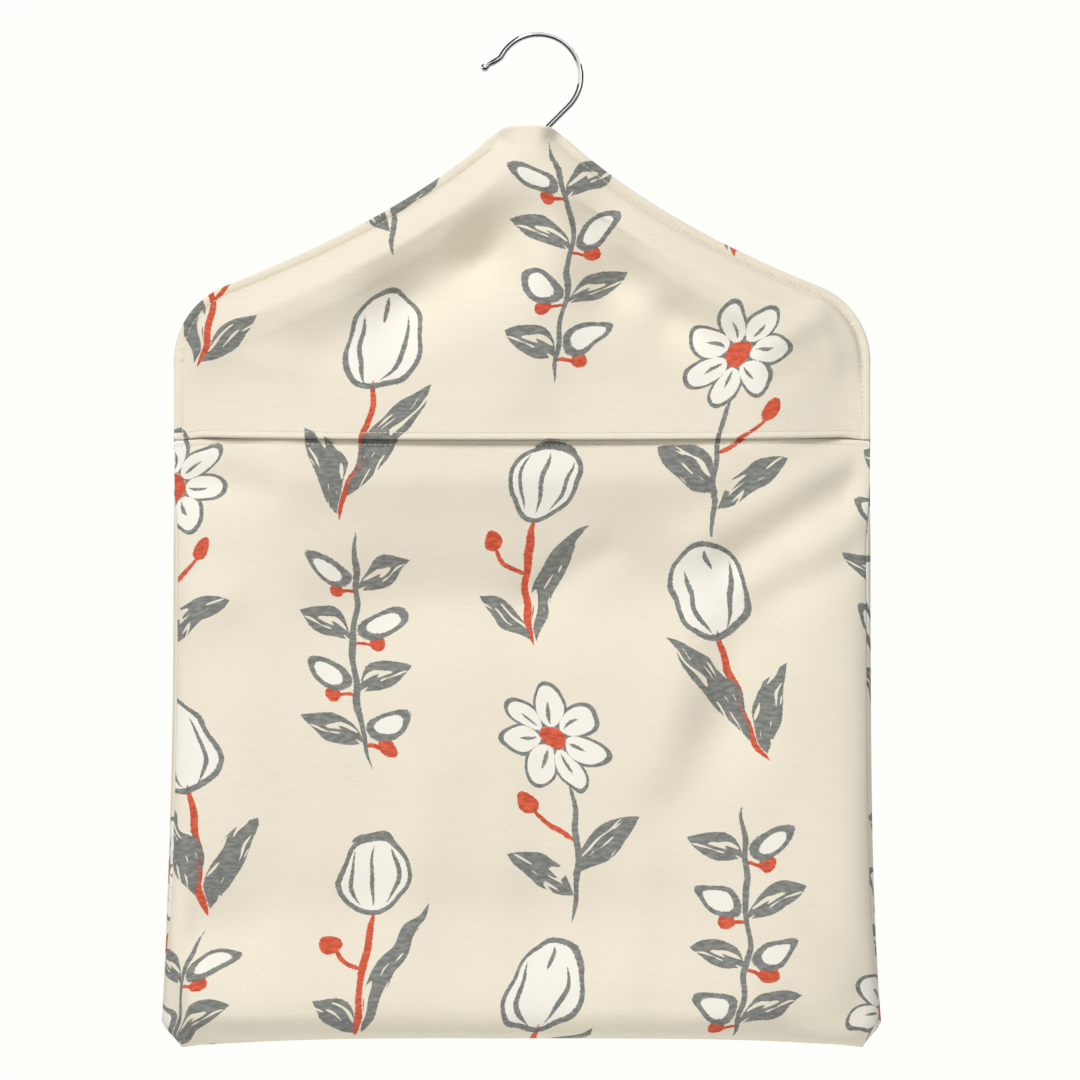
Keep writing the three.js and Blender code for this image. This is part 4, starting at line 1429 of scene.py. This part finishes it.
def insetPath(side, distance, low):
    # half of the outline moved inwards: the left half up from the slit's end, or the right one down to it
    tangent = np.stack([np.gradient(edgeX), np.gradient(edgeZ)], axis=-1)
    tangent /= np.linalg.norm(tangent, axis=1, keepdims=True)
    inner = np.stack([edgeX + tangent[:, 1] * distance, edgeZ - tangent[:, 0] * distance], axis=-1)
    kept = inner[(edgeSide == side) & (inner[:, 1] < seamTopZ - stitchLook["neckEnd"])]
    end = [[side * (bag["half"] - distance), low]]
    return np.concatenate([end, kept] if side < 0 else [kept, end])


hemReach = bag["half"] - stitchLook["hemEnds"]
hemX = np.linspace(-hemReach, hemReach, stitchLook["hemPoints"])
yokeHem = np.stack([hemX, slitHeight(hemX) + sewing["hemWidth"]], axis=-1)
pocketHem = np.stack([hemX, pocketTop(hemX) - sewing["hemWidth"]], axis=-1)
yokeStitches = [sewLine("yoke_hem_stitches", yokeHem, yokeSurface, -1)]
for label, side in (("left", -1), ("right", 1)):
    path = insetPath(side, sewing["topstitch"], slitZ + stitchLook["sideEnd"])
    yokeStitches.append(sewLine(f"{label}_yoke_edge_stitches", path, yokeSurface, -1))
    sewLine(f"{label}_back_edge_stitches", path, backSurface, 1)
pocketStitches = [sewLine("pocket_hem_stitches", pocketHem, pocketSurface, -1)]

print("seams sewn")

# the wire hook in millimetres, drawn from its riveted end up to the ball on its tip

hookSize = {
    "wireRadius": 1.35,
    "innerRadius": 17.5,
    "slant": math.radians(45),
    "stemBend": 6.0,
    "roundEnd": math.radians(151),
    "tipBend": 4.0,
    "tipTurn": math.radians(30),
    "tipLength": 6.9,
    "ballRadius": 1.95,
    "rivetRadius": 2.8,
    "rivetTaper": 0.75,
    "rivetHeight": 2.2,
    "rivetLow": -67.76,
    "rivetRounding": 0.4,
    "wireSides": 28,
    "turnedSides": 24,
    "ballRings": 14,
    "roundingSteps": 3,
    "bendSteps": (10, 56, 8),
}


def towards(angle):
    return Vector((math.cos(angle), 0, math.sin(angle)))


def straightWire(bm, edges, move):
    made = bmesh.ops.extrude_edge_only(bm, edges=edges)["geom"]
    bmesh.ops.translate(bm, verts=[v for v in made if isinstance(v, bmesh.types.BMVert)], vec=move)
    return [e for e in made if isinstance(e, bmesh.types.BMEdge) and len(e.link_faces) == 1]


def bentWire(bm, edges, centre, angle, steps):
    # a turn in the hook's own plane
    turned = {"cent": centre, "axis": (0, 1, 0), "angle": angle, "steps": steps, "use_duplicate": False}
    corners = list({v for e in edges for v in e.verts})
    made = bmesh.ops.spin(bm, geom=edges + corners, **turned)["geom_last"]
    return [e for e in made if isinstance(e, bmesh.types.BMEdge)]


def buildHook():
    size = hookSize
    slant, roundEnd, tipTurn = size["slant"], size["roundEnd"], size["tipTurn"]
    stemBend, innerRadius = size["stemBend"], size["innerRadius"]
    roundRadius = innerRadius + size["wireRadius"]
    bendZ = -innerRadius - roundRadius / math.sin(slant) - stemBend * math.tan(slant / 2)
    stemLow = size["rivetLow"] + size["rivetHeight"] / 2
    stemSteps, roundSteps, tipSteps = size["bendSteps"]
    bm = bmesh.new()
    ring = bmesh.ops.create_circle(bm, cap_ends=False, segments=size["wireSides"], radius=size["wireRadius"])
    bmesh.ops.translate(bm, verts=ring["verts"], vec=(0, 0, stemLow))
    edges = straightWire(bm, list(bm.edges), (0, 0, bendZ - stemLow))
    edges = bentWire(bm, edges, (stemBend, 0, bendZ), slant, stemSteps)
    bendEnd = Vector((stemBend * (1 - math.cos(slant)), 0, bendZ + stemBend * math.sin(slant)))
    roundStart = Vector((roundRadius * math.cos(slant), 0, -innerRadius - roundRadius * math.sin(slant)))
    heading = Vector((math.sin(slant), 0, math.cos(slant)))
    edges = straightWire(bm, edges, heading * (roundStart - bendEnd).length)
    centre = Vector((0, 0, -innerRadius))
    edges = bentWire(bm, edges, centre, -(slant + roundEnd), roundSteps)
    tipCentre = centre + towards(roundEnd) * (roundRadius + size["tipBend"])
    edges = bentWire(bm, edges, tipCentre, tipTurn, tipSteps)
    tipMove = towards(roundEnd + math.pi / 2 - tipTurn) * size["tipLength"]
    straightWire(bm, edges, tipMove)
    tip = tipCentre + size["tipBend"] * towards(roundEnd - math.pi - tipTurn) + tipMove
    bmesh.ops.holes_fill(bm, edges=bm.edges, sides=size["wireSides"])
    bmesh.ops.create_uvsphere(
        bm,
        u_segments=size["turnedSides"],
        v_segments=size["ballRings"],
        radius=size["ballRadius"],
        matrix=Matrix.Translation(tip),
    )
    head = bmesh.ops.create_cone(
        bm,
        cap_ends=True,
        segments=size["turnedSides"],
        radius1=size["rivetRadius"] * size["rivetTaper"],
        radius2=size["rivetRadius"],
        depth=size["rivetHeight"],
        matrix=Matrix.Translation((0, 0, stemLow)),
    )
    rims = {e for v in head["verts"] for e in v.link_edges if abs(e.verts[0].co.z - e.verts[1].co.z) < 1e-6}
    bmesh.ops.bevel(
        bm,
        geom=list(rims),
        offset=size["rivetRounding"],
        affect="EDGES",
        segments=size["roundingSteps"],
        profile=0.5,
        material=-1,
        offset_type="OFFSET",
    )
    bmesh.ops.recalc_face_normals(bm, faces=bm.faces)
    bmesh.ops.scale(bm, verts=bm.verts, vec=(mm, mm, mm))
    return bm


metalLook = {
    "stretch": (1.0, 1.0, 0.12),
    "fineScale": 400.0,
    "broadScale": 60.0,
    "hazeRange": (0.12, 0.42),
    "chromedWire": ("chromed_wire", (colour(226, 228, 230), colour(206, 208, 210)), (0.03, 0.09), 0.006),
    "platedSteel": ("plated_steel", (colour(196, 197, 196), colour(170, 171, 170)), (0.25, 0.4), 0.02),
}


def buildWear():
    # fine wear lines and a faint haze, as on plated or polished metal
    group, given, result = newGroup("metal_wear", {"Place": None}, ("Haze", "Height"))
    stretched = vectorCalc("MULTIPLY", given["Place"], metalLook["stretch"])
    fine = noiseOf(stretched, metalLook["fineScale"], 3.0)
    broad = noiseOf(given["Place"], metalLook["broadScale"], 2.0)
    haze = softStep(fine * broad, *metalLook["hazeRange"])
    give(result, {"Haze": haze, "Height": fine})
    return group


metalWear = buildWear()


def metalMaterial(name, tones, roughness, wearHeight):
    material, tree, shader = newMaterial(name)
    wear = useGroup(tree, metalWear, {"Place": placeOf(tree)})
    values = {
        "Base Color": blendColour(wear["Haze"], *tones),
        "Roughness": softStep(wear["Haze"], 0.0, 1.0, *roughness),
        "Normal": bumpOf(wear["Height"], wearHeight * mm),
        "Metallic": 1.0,
    }
    give(shader.inputs, values)
    return material


chromedWire = metalMaterial(*metalLook["chromedWire"])
platedSteel = metalMaterial(*metalLook["platedSteel"])

wireHook = addMesh("wire_hook", buildHook(), chromedWire)
wireHook.data.shade_smooth()
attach(wireHook, "hook")
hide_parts("hook")
print("hook bent")

# hanger arms and washer keep their solids

woodLook = {
    "grainAngle": math.radians(24.0),
    "stretch": (0.06, 1.0, 1.0),
    "ringScale": 190.0,
    "ringRange": (0.35, 0.65),
    "tones": (colour(226, 196, 152), colour(190, 150, 102)),
    "poreScale": 1600.0,
    "poreRange": (0.55, 0.7),
    "poreTone": colour(150, 110, 70),
    "poreCover": 0.35,
    "poreDepth": 0.05,
    "roughness": (0.42, 0.56),
    "coat": 0.2,
}


def buildWoodGrain():
    group, given, result = newGroup("straight_grain", {"Place": None, "Turn": 0.0}, ("Tone", "Pores"))
    stretched = turnedBy(given["Place"], given["Turn"], "Y_AXIS")
    stretched = vectorCalc("MULTIPLY", stretched, woodLook["stretch"])
    rings = noiseOf(stretched, woodLook["ringScale"], 4.0)
    pores = noiseOf(stretched, woodLook["poreScale"], 2.0)
    rings = softStep(rings, *woodLook["ringRange"])
    give(result, {"Tone": rings, "Pores": softStep(pores, *woodLook["poreRange"])})
    return group


woodGrain = buildWoodGrain()


def woodMaterial(name, turn):
    material, tree, shader = newMaterial(name)
    grain = useGroup(tree, woodGrain, {"Place": placeOf(tree), "Turn": turn})
    pores = grain["Pores"] * woodLook["poreCover"]
    tone = blendColour(grain["Tone"], *woodLook["tones"])
    values = {
        "Base Color": blendColour(pores, tone, woodLook["poreTone"]),
        "Roughness": softStep(grain["Tone"], 0.0, 1.0, *woodLook["roughness"]),
        "Normal": bumpOf(grain["Pores"], -woodLook["poreDepth"] * mm),
        "Coat Weight": woodLook["coat"],
    }
    give(shader.inputs, values)
    return material


finishes = {
    "left_arm": woodMaterial("left_arm_wood", woodLook["grainAngle"]),
    "right_arm": woodMaterial("right_arm_wood", -woodLook["grainAngle"]),
    "hook_washer": platedSteel,
}
for name, material in finishes.items():
    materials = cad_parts[name].data.materials
    materials.clear()
    materials.append(material)
print("hanger finished")

bpy.context.view_layer.update()
